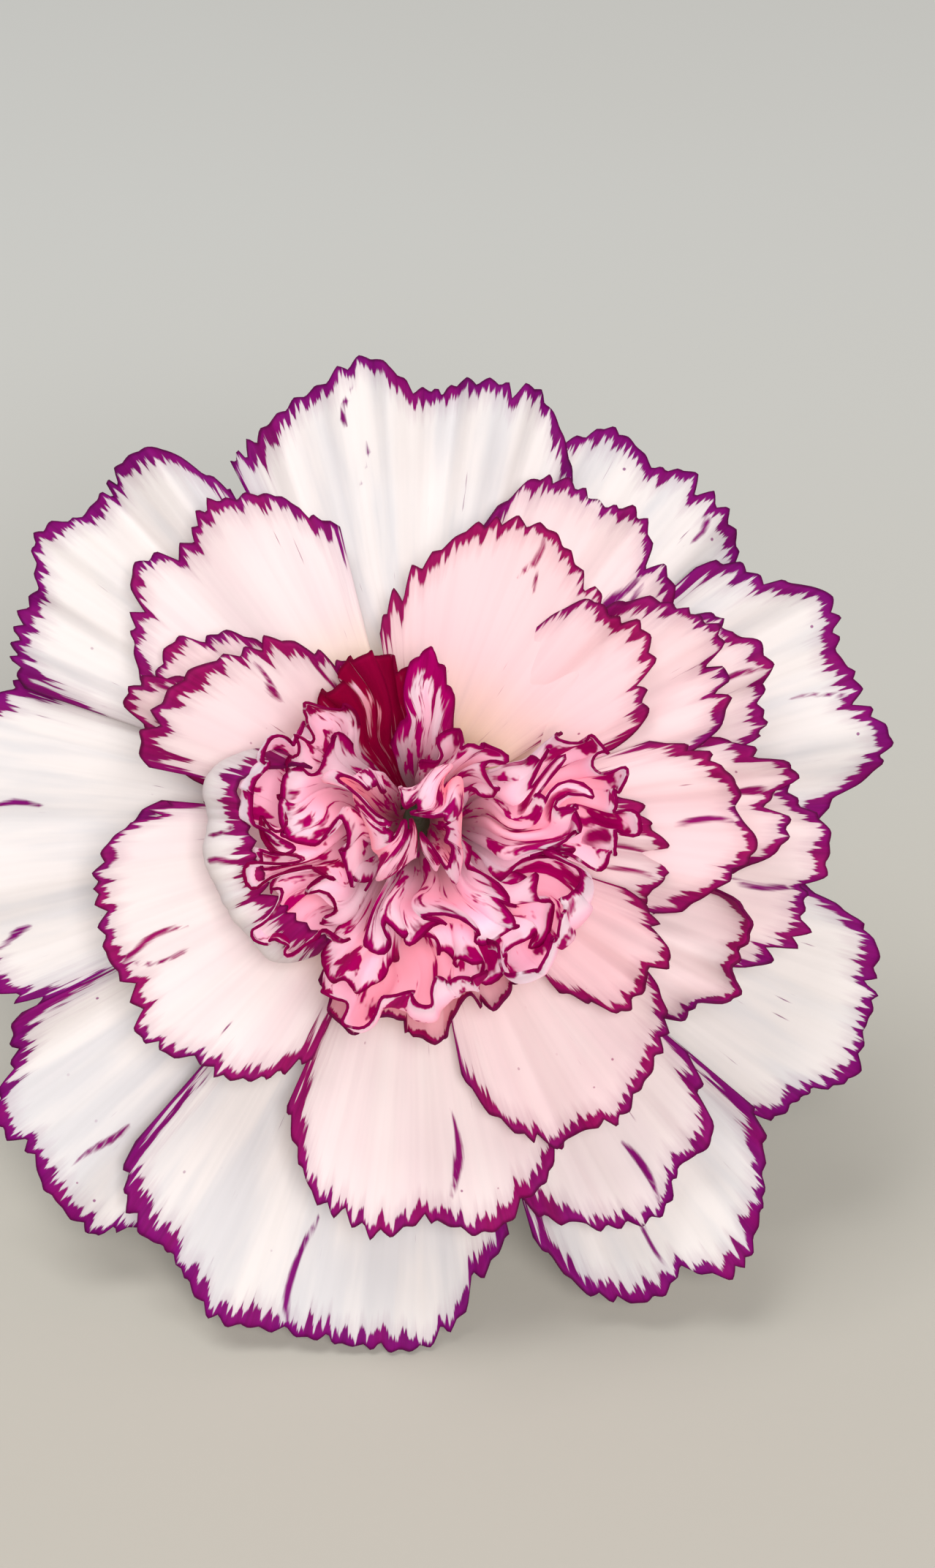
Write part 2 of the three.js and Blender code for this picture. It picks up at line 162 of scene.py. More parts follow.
class Paint:
    """A material being built: its node tree, and short ways to combine values and colours."""

    def __init__(self, name: str) -> None:
        """Starts an empty material.

        Args:
            name: the material's name.
        """
        self.material = bpy.data.materials.new(name)
        self.material.use_nodes = True
        self.tree = self.material.node_tree
        self.tree.nodes.clear()

    def node(self, kind: str, settings: dict | None = None, **links: object) -> bpy.types.Node:
        """Adds a node to this material."""
        return add_node(self.tree, kind, settings, **links)

    def maths(self, operation: str, a: Value, b: Value = 0.0, clamp: bool = False) -> Socket:
        """One arithmetic step on two values."""
        return self.node("Math", {"operation": operation, "use_clamp": clamp}, i0=a, i1=b).outputs[0]

    def ramp(self, value: Value, low: float, high: float, start: float = 0.0, end: float = 1.0) -> Socket:
        """Maps a value smoothly from one range to another.

        Args:
            value: the value.
            low: where its range starts.
            high: where its range ends.
            start: the result at low and below it.
            end: the result at high and above it.

        Returns:
            The result.
        """
        settings = {"interpolation_type": "SMOOTHSTEP"}
        node = self.node("MapRange", settings, i0=value, i1=low, i2=high, i3=start, i4=end)
        return node.outputs[0]

    def blend(self, factor: Value, a: Tone, b: Tone, mode: str = "MIX") -> Socket:
        """Mixes two colours.

        Args:
            factor: share of the second colour.
            a: the first colour.
            b: the second colour.
            mode: how they mix.

        Returns:
            The mixed colour.
        """
        settings = {"data_type": "RGBA", "blend_type": mode, "clamp_factor": True}
        node = self.node("Mix", settings)
        for socket, value in ((node.inputs[0], factor), (node.inputs[6], a), (node.inputs[7], b)):
            if isinstance(value, Socket):
                self.tree.links.new(value, socket)
            else:
                socket.default_value = value
        return node.outputs[2]

    def grey(self, value: Value) -> Socket:
        """A grey colour from a value."""
        return self.node("CombineColor", i0=value, i1=value, i2=value).outputs[0]

    def noise(self, vector: Socket, scale: float, detail: float = 2.0, rough: float = 0.5) -> Socket:
        """A noise value from 0 to 1 at a vector."""
        node = self.node("TexNoise", Vector=vector, Scale=scale, Detail=detail, Roughness=rough)
        return node.outputs[0]

    def grain(
        self, place: Place, stretch: float, scale: float, detail: float = 2.0, rough: float = 0.5
    ) -> Socket:
        """A noise value whose grains lie along the piece.

        Args:
            place: distances across and along the piece, and the piece's own seed.
            stretch: how fast the noise changes along the piece, as a share of how fast it changes across.
            scale: grains per millimetre across the piece.
            detail: octaves of the noise.
            rough: weight of its finer octaves.

        Returns:
            The value, from 0 to 1.
        """
        across, along, seed = place
        slowed = self.maths("MULTIPLY", along, stretch)
        return self.noise(self.vector(across, slowed, seed), scale, detail, rough)

    def field(self, name: str) -> list[Socket]:
        """The three numbers of one of the piece's own vector attributes."""
        source = self.node("Attribute", {"attribute_name": name})
        return list(self.node("SeparateXYZ", i0=source.outputs["Vector"]).outputs)

    def vector(self, x: Value, y: Value, z: Value = 0.0) -> Socket:
        """A vector from three values."""
        return self.node("CombineXYZ", i0=x, i1=y, i2=z).outputs[0]

    def finish(self, shader: Socket) -> bpy.types.Material:
        """Joins the shader to the material's output."""
        self.node("OutputMaterial", i0=shader)
        return self.material


# ---------- finishes ----------
@dataclass(frozen=True)
class PetalFinish:
    """Petal tissue: thin, matte, slightly velvety cell layers that let light through and scatter it."""

    name: str
    pale: str = "#F4EEEC"
    blushed: str = "#F9D9DC"
    warm: str = "#F8AEBC"
    claw_tone_and_depth_shade: str = "#F4E6B4"
    claw_reach: float = 14.0  # mm from the calyx mouth over which the claw tone fades out; in the heart that tone is painted shade
    # painted shade: cool grey streaks that stand in for the shade in the folds of pale petals
    painted_pleat_shade: str = "#D3D5DB"
    violet: str = "#8A047C"
    magenta: str = "#A6055E"
    crimson: str = "#BE0640"
    shade_line: str = "#430328"
    dash_level: float = 0.9  # noise level above which the tissue is dyed in dashes
    depth: float = 0.0  # painted light and shade: how much paler the petal is at its margin and pinker far from it, deep in the bloom
    afterglow: float = 0.0  # strength of a weak emission, in place of light handed on from petal to petal
    glow: float = 0.32
    roughness: float = 0.7
    specular: float = 0.22
    ior: float = 1.4
    rib_spacing: float = 0.7  # mm between the fine veins of a petal at its margin
    feather_spacing: float = 0.4  # mm between the strokes that feather the coloured margin

    def build(self) -> bpy.types.Material:
        """Builds the material.

        Returns:
            A material that reads the petal attributes form, lines and tint.
        """
        p = Paint(self.name)
        edge, streak, along = p.field("form")
        vein, seed, band = p.field("lines")
        blush, wine, wash = p.field("tint")
        place = (vein, along, seed)
        strokes = p.grain(place, 0.06, 1.0 / self.feather_spacing, 2.0, 0.6)
        broad = p.grain(place, 0.1, 0.32)
        ribs = p.grain(place, 0.03, 1.0 / self.rib_spacing, 1.0)
        cloud = p.grain(place, 0.16, 0.3, 3.0)

        inside = self.inside(p, edge, band, broad, strokes)
        mask = p.ramp(inside, -0.2, 0.16, 1.0, 0.0)
        marks = (
            self.streaked(p, streak, strokes),
            self.specks(p, place, edge),
            self.washed(p, wash, edge, strokes),
            self.dashes(p, place),
        )
        for mark in marks:
            mask = p.maths("MAXIMUM", mask, mark)
        ground = self.ground(p, blush, cloud, ribs, along, edge)
        dye = self.dye(p, wine, broad, strokes, edge)
        halo = p.ramp(inside, 0.0, 1.8, 0.3, 0.0)
        tinted = p.blend(p.maths("MULTIPLY", halo, 0.5), ground, dye)
        colour = p.blend(mask, tinted, dye)

        height = p.maths("ADD", p.maths("MULTIPLY", ribs, 0.7), p.maths("MULTIPLY", cloud, 0.8))
        bump = p.node("Bump", Strength=0.22, Distance=0.0002, Height=height)
        blade = p.node(
            "BsdfPrincipled",
            Base_Color=colour,
            Roughness=self.roughness,
            IOR=self.ior,
            Specular_IOR_Level=self.specular,
            Emission_Color=colour,
            Emission_Strength=self.afterglow,
            Normal=bump.outputs[0],
        )
        through = p.node("BsdfTranslucent", Color=colour, Normal=bump.outputs[0])
        shader = p.node("MixShader", i0=self.glow, i1=blade.outputs[0], i2=through.outputs[0])
        return p.finish(shader.outputs[0])

    def inside(self, p: Paint, edge: Socket, band: Socket, broad: Socket, strokes: Socket) -> Socket:
        """How far a place is inside the feathered end of the coloured margin.

        Args:
            p: the material being built.
            edge: distance from the margin.
            band: the coloured margin's width.
            broad: slow noise that widens and narrows it.
            strokes: fine lengthwise noise that feathers it.

        Returns:
            The distance in millimetres, negative within the coloured margin.
        """
        reach = p.maths("MULTIPLY", band, p.ramp(broad, 0.3, 0.7, 0.6, 1.15))
        frayed = p.maths("MULTIPLY", p.maths("SUBTRACT", strokes, 0.52), p.maths("MULTIPLY", band, 3.0))
        return p.maths("SUBTRACT", p.maths("SUBTRACT", edge, frayed), reach)

    def streaked(self, p: Paint, streak: Socket, strokes: Socket) -> Socket:
        """The mask of the petal's own streaks, with frayed sides."""
        fray = p.maths("MULTIPLY", p.maths("SUBTRACT", strokes, 0.5), 0.55)
        return p.ramp(p.maths("SUBTRACT", streak, fray), -0.14, 0.14, 1.0, 0.0)

    def specks(self, p: Paint, place: Place, edge: Socket) -> Socket:
        """The mask of small round specks, which fade out away from the margin.

        Args:
            p: the material being built.
            place: distances across and along the petal, and its seed.
            edge: distance from the margin.

        Returns:
            The mask.
        """
        cells = p.node("TexVoronoi", {"feature": "F1"}, Vector=p.vector(*place), Scale=0.3)
        speck = p.ramp(cells.outputs["Distance"], 0.03, 0.05, 0.8, 0.0)
        return p.maths("MULTIPLY", speck, p.ramp(edge, 2.0, 9.0, 1.0, 0.0))

    def washed(self, p: Paint, wash: Socket, edge: Socket, strokes: Socket) -> Socket:
        """The mask of the stroked wash that spreads inward from the margin of some petals.

        Args:
            p: the material being built.
            wash: how much of the petal is washed.
            edge: distance from the margin.
            strokes: fine lengthwise noise.

        Returns:
            The mask.
        """
        washed = p.maths("MULTIPLY", wash, p.ramp(edge, 1.0, 13.0, 1.0, 0.0))
        thinned = p.maths("MULTIPLY", p.maths("SUBTRACT", 0.75, strokes), 1.6)
        return p.ramp(p.maths("SUBTRACT", washed, thinned), -0.06, 0.1)

    def dashes(self, p: Paint, place: Place) -> Socket:
        """The mask of short dashes all over the petal."""
        return p.ramp(p.grain(place, 0.2, 0.8, 3.0, 0.55), self.dash_level, self.dash_level + 0.05)

    def dye(self, p: Paint, wine: Socket, broad: Socket, strokes: Socket, edge: Socket) -> Socket:
        """The colour of the markings: violet to magenta to crimson, darker in strokes and at the edge.

        Args:
            p: the material being built.
            wine: how red the petal's markings are.
            broad: slow noise that varies it.
            strokes: fine lengthwise noise.
            edge: distance from the margin.

        Returns:
            The colour.
        """
        redness = p.maths("ADD", wine, p.maths("MULTIPLY", p.maths("SUBTRACT", broad, 0.5), 0.6))
        dye = p.blend(p.ramp(redness, 0.0, 0.5), linear(self.violet), linear(self.magenta))
        dye = p.blend(p.ramp(redness, 0.5, 1.0), dye, linear(self.crimson))
        dye = p.blend(p.ramp(strokes, 0.4, 0.75, 0.0, 0.3), dye, linear(self.shade_line))
        return p.blend(p.ramp(edge, 0.0, 0.32, 0.6, 0.0), dye, linear(self.shade_line))

    def ground(
        self, p: Paint, blush: Socket, cloud: Socket, ribs: Socket, along: Socket, edge: Socket
    ) -> Socket:
        """The petal's colour under its markings: white to blush to salmon pink, with its claw tone, painted
        pleat shade and painted depth shade.

        Args:
            p: the material being built.
            blush: how pink the petal is.
            cloud: slow noise.
            ribs: fine lengthwise noise.
            along: distance from the calyx mouth.
            edge: distance from the margin.

        Returns:
            The colour.
        """
        deeper = p.ramp(along, 4.0, 20.0, 0.22, 0.0)
        level = p.maths("ADD", blush, p.maths("MULTIPLY", p.maths("SUBTRACT", cloud, 0.5), 0.3))
        level = p.maths("ADD", level, p.maths("MULTIPLY", deeper, p.ramp(blush, 0.0, 0.3, 0.3, 1.0)))
        # Painted light and shade: paler at the margin and pinker far from it, where shade falls deep in the
        # heart.
        level = p.maths("ADD", level, p.ramp(edge, 0.0, 5.5, -self.depth, self.depth))
        ground = p.blend(p.ramp(level, 0.0, 0.5), linear(self.pale), linear(self.blushed))
        ground = p.blend(p.ramp(level, 0.45, 1.0), ground, linear(self.warm))
        # The claw tone near the calyx mouth: the real yellowish claw, and in the heart a dark crimson painted
        # shade deep in the bloom.
        ground = p.blend(p.ramp(along, 4.0, self.claw_reach, 0.85, 0.0), ground, linear(self.claw_tone_and_depth_shade))
        # Painted shade: cloudy grey streaks, strongest on pale petals, stand in for the shade in their
        # pleats.
        pleat_shade_mask = p.maths("MULTIPLY", p.ramp(cloud, 0.4, 0.68), p.ramp(level, 0.0, 0.25, 0.5, 0.12))
        ground = p.blend(pleat_shade_mask, ground, linear(self.painted_pleat_shade))
        return p.blend(1.0, ground, p.grey(p.ramp(ribs, 0.3, 0.62, 0.97, 1.0)), "MULTIPLY")


@dataclass(frozen=True)
class GreenFinish:
    """Glaucous green tissue: a fleshy surface under a pale, waxy bloom that rubs off in patches."""

    name: str
    flesh: str
    wax: str
    tip: str
    rib_spacing: float  # mm between the ribs or veins
    wax_share: float = 0.5
    roughness: float = 0.46
    inner: str = "#C9CFA6"  # pith of a cut, or the pale foot of a leaf

    def build(self) -> bpy.types.Material:
        """Builds the material.

        Returns:
            A material that reads the attributes form (edge, cut, along) and lines (across, seed).
        """
        p = Paint(self.name)
        edge, cut, along = p.field("form")
        across, seed, _ = p.field("lines")
        place = (across, along, seed)
        ribs = p.grain(place, 0.02, 1.0 / self.rib_spacing, 1.0)
        patches = p.grain(place, 0.3, 0.35, 4.0, 0.6)
        grain = p.noise(p.vector(*place), 4.0)
        wax = p.maths("MULTIPLY", p.ramp(patches, 0.3, 0.68), self.wax_share)
        colour = p.blend(wax, linear(self.flesh), linear(self.wax))
        colour = p.blend(p.ramp(ribs, 0.35, 0.65, 0.0, 0.3), colour, linear(self.wax))
        colour = p.blend(p.ramp(grain, 0.4, 0.8, 0.0, 0.15), colour, linear(self.flesh))
        colour = p.blend(p.ramp(edge, 0.0, 1.0, 0.85, 0.0), colour, linear(self.tip))
        colour = p.blend(cut, colour, linear(self.inner))
        height = p.maths("ADD", p.maths("MULTIPLY", ribs, 0.9), p.maths("MULTIPLY", grain, 0.2))
        bump = p.node("Bump", Strength=0.6, Distance=0.0003, Height=height)
        shader = p.node(
            "BsdfPrincipled",
            Base_Color=colour,
            Roughness=p.ramp(wax, 0.0, 0.5, self.roughness - 0.08, self.roughness + 0.14),
            IOR=1.42,
            Subsurface_Weight=0.1,
            Subsurface_Radius=(0.6, 1.0, 0.3),
            Subsurface_Scale=0.001,
            Normal=bump.outputs[0],
        )
        return p.finish(shader.outputs[0])


@dataclass(frozen=True)
class PaperFinish:
    """Matte background paper: nearly even, with a faint cloudy tone, and painted shade that makes it darker
    and warmer towards the front.
    """

    name: str = "background_paper"
    tone: str = "#CDCDC8"
    cloudy: str = "#C9C5BC"
    # painted shade: the darker, warmer tone of the paper's front
    front: str = "#BEB9AE"
    front_end: float = -0.15  # metres along Y up to which the paper has its painted front shade
    back_start: float = 0.22  # and from which it has its own

    def build(self) -> bpy.types.Material:
        """Builds the material.

        Returns:
            A material that reads Object coordinates.
        """
        p = Paint(self.name)
        place = p.node("TexCoord").outputs["Object"]
        cloud = p.noise(place, 3.0, 3.0)
        fibre = p.noise(place, 900.0, 2.0)
        colour = p.blend(p.ramp(cloud, 0.3, 0.7, 0.0, 0.3), linear(self.tone), linear(self.cloudy))
        # Painted shade: the paper turns darker and warmer towards the front.
        near = p.ramp(p.node("SeparateXYZ", i0=place).outputs[1], self.front_end, self.back_start, 1.0, 0.0)
        colour = p.blend(near, colour, linear(self.front))
        bump = p.node("Bump", Strength=0.05, Distance=0.0001, Height=fibre)
        shader = p.node("BsdfPrincipled", Base_Color=colour, Roughness=0.95, Normal=bump.outputs[0])
        return p.finish(shader.outputs[0])


# ---------- meshes ----------
class Bloom:
    """The bloom's frame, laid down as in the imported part."""

    def __init__(self) -> None:
        """Turns the bloom's axis down to its tilt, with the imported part's shift still to be found."""
        turn = Matrix.Rotation(math.pi / 2 - math.radians(BLOOM_TILT), 4, "X")
        self.matrix = np.array(Matrix.Translation((0, 0, BLOOM_HEIGHT)) @ turn)
        self.shift = np.zeros(3)

    def settle(self) -> None:
        """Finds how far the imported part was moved, from the calyx, whose middle line is the bloom's axis.

        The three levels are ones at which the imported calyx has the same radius.
        """
        low, high = (np.array(corner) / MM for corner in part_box("calyx"))
        ring = np.linspace(0, 2 * math.pi, 721)
        rows = []
        for level, radius in (CALYX_OUTLINE[0], CALYX_OUTLINE[2], CALYX_OUTLINE[3]):
            circle = [radius * np.cos(ring), radius * np.sin(ring), np.full_like(ring, level)]
            rows.append(np.stack(circle, -1))
        own = self.placed(np.concatenate(rows))
        self.shift[0] = (low[0] + high[0]) / 2
        self.shift[1] = high[1] - own[:, 1].max()
        self.shift[2] = low[2] - own[:, 2].min()

    def placed(self, points: np.ndarray) -> np.ndarray:
        """Points of the bloom's frame as points of the part, in millimetres."""
        return points @ self.matrix[:3, :3].T + self.matrix[:3, 3] + self.shift

    def point(self, x: float, y: float, z: float) -> Vector:
        """One point of the bloom's frame in the part, in metres."""
        return Vector(self.placed(np.array([[x, y, z]], float))[0] * MM)

    def direction(self, x: float, y: float, z: float) -> Vector:
        """One direction of the bloom's frame in the part."""
        return Vector(self.matrix[:3, :3] @ np.array([x, y, z], float)).normalized()


@dataclass
class Lattice:
    """A grid mesh whose vertices are moved into shape."""

    name: str
    columns: int
    rows: int

    def __post_init__(self) -> None:
        """Makes the flat grid and notes each vertex's column and row."""
        shape = bmesh.new()
        bmesh.ops.create_grid(shape, x_segments=self.columns, y_segments=self.rows, size=1.0)
        mesh = bpy.data.meshes.new(self.name)
        shape.to_mesh(mesh)
        shape.free()
        flat = np.empty(len(mesh.vertices) * 3)
        mesh.vertices.foreach_get("co", flat)
        flat = flat.reshape(-1, 3)
        self.column = np.rint((flat[:, 0] + 1) / 2 * self.columns).astype(int)
        self.row = np.rint((flat[:, 1] + 1) / 2 * self.rows).astype(int)
        self.object = bpy.data.objects.new(self.name, mesh)
        bpy.context.scene.collection.objects.link(self.object)

    def mould(self, places: np.ndarray, fields: dict[str, np.ndarray], material: bpy.types.Material) -> None:
        """Moves the vertices into place and gives the mesh its attributes and material.

        Args:
            places: points in millimetres, [row, column, xyz].
            fields: vector attributes, each [row, column, 3].
            material: the finish.
        """
        mesh = self.object.data
        mesh.vertices.foreach_set("co", (places[self.row, self.column] * MM).ravel())
        for name, values in fields.items():
            attribute = mesh.attributes.new(name, "FLOAT_VECTOR", "POINT")
            attribute.data.foreach_set("vector", values[self.row, self.column].astype(np.float32).ravel())
        mesh.polygons.foreach_set("use_smooth", [True] * len(mesh.polygons))
        mesh.materials.append(material)
        mesh.update()

    def weld(self) -> None:
        """Closes the seam of a grid that was rolled into a tube, and turns its faces outward."""
        shape = bmesh.new()
        shape.from_mesh(self.object.data)
        bmesh.ops.remove_doubles(shape, verts=shape.verts, dist=0.00001)
        bmesh.ops.recalc_face_normals(shape, faces=shape.faces)
        shape.to_mesh(self.object.data)
        shape.free()

    def thicken(self, thickness: float, offset: float = 0.0) -> None:
        """Gives the sheet its thickness.

        Args:
            thickness: millimetres.
            offset: 0 for evenly to both sides, -1 for wholly inward.
        """
        solid = self.object.modifiers.new("thickness", "SOLIDIFY")
        solid.thickness = thickness * MM
        solid.offset = offset

    def stand_for(self, node: str, slot: str) -> None:
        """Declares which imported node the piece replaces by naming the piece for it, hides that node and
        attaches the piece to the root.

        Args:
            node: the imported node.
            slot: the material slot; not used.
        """
        self.object.name = f"look_{node}"
        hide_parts(node)
        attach(self.object, "root")


def three(a: Spread, b: Spread, c: Spread, like: np.ndarray) -> np.ndarray:
    """Three values, each spread over a grid, as one vector attribute."""
    return np.stack([a + 0 * like, b + 0 * like, c + 0 * like], -1)


# ---------- petals ----------
class Kind(Enum):
    """The three groups of petals, from the outside in."""

    GUARD = "guard"
    RING = "ring"
    HEART = "heart"


@dataclass(frozen=True)
class Ring:
    """A ring of petals: its group, the angles at which they leave the calyx and end, and their order."""

    kind: Kind
    flare: float
    spread: float
    index: int

    def profile(self, length: np.ndarray) -> tuple[np.ndarray, np.ndarray]:
        """The outline of a plain petal, seen from its side.

        Args:
            length: free lengths along it.

        Returns:
            Distances from the axis, and heights over the calyx mouth.
        """
        turned = smooth(np.minimum(length / SPREAD_LENGTH, 1.0))
        angle = np.radians(self.flare + (self.spread - self.flare) * turned)
        return self.foot + length * np.sin(angle), length * np.cos(angle)

    @property
    def foot(self) -> float:
        """Radius of this ring's claws."""
        return CLAW_RIM + (CLAW_CORE - CLAW_RIM) * self.index / (len(FLARES) - 1)

    def free_length(self, reach: float) -> float:
        """The free length at which a petal of this ring is as far from the axis as its reach.

        Args:
            reach: millimetres from the axis.

        Returns:
            The free length in millimetres.
        """
        lengths = np.arange(4.0, 60.0, 0.1)
        radii, _ = self.profile(lengths)
        return float(lengths[np.argmax(radii >= reach)])


FLARES = (50, 44, 37, 31, 26, 20, 15, 11, 7, 3)
SPREADS = (98, 90, 77, 67, 57, 46, 36, 27, 18, 10)
KINDS = (Kind.GUARD,) * 2 + (Kind.RING,) * 4 + (Kind.HEART,) * 4
RINGS = [Ring(kind, flare, spread, i) for i, (kind, flare, spread) in enumerate(zip(KINDS, FLARES, SPREADS))]


@dataclass(frozen=True)
class Streak:
    """A coloured dash along the veins: its bearing, how far inside the margin it starts, length and width."""

    at: float
    start: float
    length: float
    width: float = 0.8


@dataclass(frozen=True)
class Eddy:
    """A swirl that crumples the heart: its place, its size and how far it turns the petals at its middle."""

    x: float
    y: float
    size: float
    turn: float

    def drift(self, points: np.ndarray) -> np.ndarray:
        """How the swirl moves points.

        Args:
            points: points of the bloom's frame.

        Returns:
            Each point's movement for the swirl's whole turn, as if it went on straight.
        """
        x, y = points[..., 0] - self.x, points[..., 1] - self.y
        rate = math.radians(self.turn) * np.exp(-(x * x + y * y) / self.size**2)
        return np.stack([-y * rate, x * rate, 0 * x], -1)


EDDIES = [
    Eddy(-7.4, 0.2, 3.4, 75),
    Eddy(-6.3, -6.6, 3.2, -70),
    Eddy(0.4, -9.4, 3.2, 45),
    Eddy(6.2, 3.2, 3.0, -65),
    Eddy(8.4, -5.6, 3.2, 70),
    Eddy(-3.2, 7.6, 3.0, -60),
    Eddy(11.0, 1.2, 2.8, 60),
    Eddy(4.4, -11.6, 2.4, -40),
]
# A sunflower pattern of small swirls, turning to and fro, fills the space between the large ones.
GOLDEN_ANGLE = 2.39996
SMALL_SPACING = 2.5
SMALL_SIZE = 1.7
SMALL_TURN = 58
SMALL_COUNT = 26
EDDIES += [
    Eddy(
        SMALL_SPACING * math.sqrt(k) * math.cos(k * GOLDEN_ANGLE) + 0.6,
        SMALL_SPACING * math.sqrt(k) * math.sin(k * GOLDEN_ANGLE) - 1.6,
        SMALL_SIZE,
        SMALL_TURN if k % 2 else -SMALL_TURN,
    )
    for k in range(1, SMALL_COUNT + 1)
]
EDDY_STEPS = 10
CALM_LEVEL = 5.0  # height over the calyx mouth under which nothing is crumpled
CRUMPLE_RISE = 15.0  # further height at which the crumpling is full


def crumple(points: np.ndarray, weight: float) -> np.ndarray:
    """Carries points round the swirls of the heart, further the higher they are.

    Args:
        points: points of the bloom's frame.
        weight: share of the full crumpling.

    Returns:
        The moved points. Neighbouring points move together, but petals with other weights can still meet.
    """
    strength = weight * smooth((points[..., 2:3] - CALM_LEVEL) / CRUMPLE_RISE)
    for _ in range(EDDY_STEPS):
        drift = sum(eddy.drift(points) for eddy in EDDIES)
        points = points + drift * strength / EDDY_STEPS
    return points


def ripple(parts: Waves, at: np.ndarray) -> np.ndarray:
    """Sums the parts of a wave, each given as its turns, weight and phase."""
    return sum(weight * np.sin(turns * at + phase) for turns, weight, phase in parts)


INNER_RING = 5  # from this ring inwards the petals are more finely divided
OUTER_SPACING = 0.26  # between the columns of an outer petal
INNER_SPACING = 0.17
ROW_SPACING = 0.8
CLAW_ROWS = 4
LONGEST_PLAIN = 41.0  # the farthest that a plain profile is asked to reach
FITTING_ROUNDS = 3  # rounds in which a petal's length is fitted to its reach
FIRST_SEED = 1000


@dataclass
class Petal:
    """One petal. Angles are degrees, lengths millimetres, and reach is a share of the bloom's radius."""

    ring: int
    at: float
    span: float
    reach: float
    blush: float = 0.0
    wine: float = 0.1
    wash: float = 0.0
    band: float = 1.3
    ruffle: float = 1.0
    waves: float = 2.2
    pucker: float = 0.12
    loop: float = 0.0
    lean: float = 0.0
    curl: float = 0.0
    curl_from: float = 0.7
    cup: float = 0.0
    fold: float = 0.0
    skew: float = 0.0
    round: float = 0.22
    taper: float = 2.8
    notch: float = 0.0
    uneven: float = 0.03
    crumpled: float = 0.0
    streaks: tuple[Streak, ...] = ()
    wander: np.random.Generator = field(default=None, repr=False)

    def fringe(self, arc: np.ndarray) -> np.ndarray:
        """Depth of the cuts between the margin's teeth.

        Args:
            arc: distance along the margin in millimetres, rising.

        Returns:
            How far the margin is set back at each place.
        """
        start, end = arc[0] - 3, arc[-1] + 3
        widths = self.wander.uniform(0.9, 2.1, 100)
        marks = start + np.concatenate([[0], np.cumsum(widths)])
        marks = marks[: np.searchsorted(marks, end) + 2]
        depth = self.wander.uniform(0.35, 1.25, len(marks))
        deep = self.wander.random(len(marks)) < 0.1
        depth = np.where(deep, depth + self.wander.uniform(0.5, 1.4, len(marks)), depth)
        tip = self.wander.uniform(0.0, 0.5, len(marks))
        cell = np.clip(np.searchsorted(marks, arc) - 1, 0, len(marks) - 2)
        share = (arc - marks[cell]) / (marks[cell + 1] - marks[cell])
        left = depth[cell] * np.maximum(1 - 2 * share, 0) ** 1.1
        right = depth[cell + 1] * np.maximum(2 * share - 1, 0) ** 1.1
        return left + right + tip[cell] * (1 - np.abs(2 * share - 1))

    def wave(self, count: float) -> Waves:
        """Draws the parts of a smooth irregular wave across the petal.

        Args:
            count: turns of its main part between the petal's two sides.

        Returns:
            The parts.
        """
        parts = ((0.55, 0.5), (1.0, 1.0), (1.7, 0.45))
        phases = [self.wander.uniform(0, 2 * math.pi) for _ in parts]
        return [(math.pi * count * k, weight / 1.5, phase) for (k, weight), phase in zip(parts, phases)]

    def build(self, name: str, number: int, bloom: Bloom, finish: bpy.types.Material) -> Lattice:
        """Shapes the petal.

        Args:
            name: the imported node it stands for.
            number: its place in the list, which seeds its irregularities.
            bloom: the frame it stands in.
            finish: its material.

        Returns:
            The finished sheet.
        """
        self.wander = np.random.default_rng(FIRST_SEED + number)
        ring = RINGS[self.ring]
        width = math.radians(2 * self.span) * self.reach * BLOOM_RADIUS
        full = ring.free_length(min(self.reach * BLOOM_RADIUS, LONGEST_PLAIN))
        spacing = OUTER_SPACING if self.ring < INNER_RING else INNER_SPACING
        columns = int(np.clip(width / spacing, 56, 140))
        rows = int(np.clip(full / ROW_SPACING, 34, 48))
        across = np.linspace(-1, 1, columns + 1)
        arc = across * width / 2
        cuts = self.fringe(arc)
        drawn = [self.wave(1.1), self.wave(self.waves), self.wave(self.waves * 3.2), self.wave(2.6)]

        for _ in range(FITTING_ROUNDS):
            own, length, margin, radius = self.shape(ring, full, rows, across, cuts, drawn, number)
            seen = radius * VIEW_DISTANCE / (VIEW_DISTANCE - (own[..., 2] - FACE_LEVEL))
            middle = np.abs(across) < 0.5
            full *= 1 + 0.9 * (self.reach * BLOOM_RADIUS / seen[:, middle].max(axis=0).mean() - 1)
        if self.crumpled:
            own = crumple(own, self.crumpled)
        places = bloom.placed(own.reshape(-1, 3)).reshape(own.shape)
        sunk = np.maximum(SURFACE_REST + SURFACE_STAGGER * self.ring - places[..., 2], 0)
        places += sunk[..., None] * np.array([0.0, -math.sin(math.radians(BLOOM_TILT)), 1.0])

        half = math.radians(self.span)
        slope = full * self.round * self.taper * np.abs(across) ** (self.taper - 1) / (width / 2)
        edge = (margin[None, :] - length) / np.sqrt(1 + slope**2)
        side = (1 - np.abs(across))[None, :] * half * radius + 4.0 * (1 - length / margin[None, :])
        edge = np.minimum(edge, side)
        fields = {
            "form": three(edge, self.dashes(across, half, full, length, margin), length, edge),
            "lines": three(arc[None, :], number * 7.3, self.band, edge),
            "tint": three(self.blush, self.wine, self.wash, edge),
        }
        made = Lattice(name, columns, rows)
        made.mould(places, fields, finish)
        made.thicken(PETAL_SHEET)
        return made

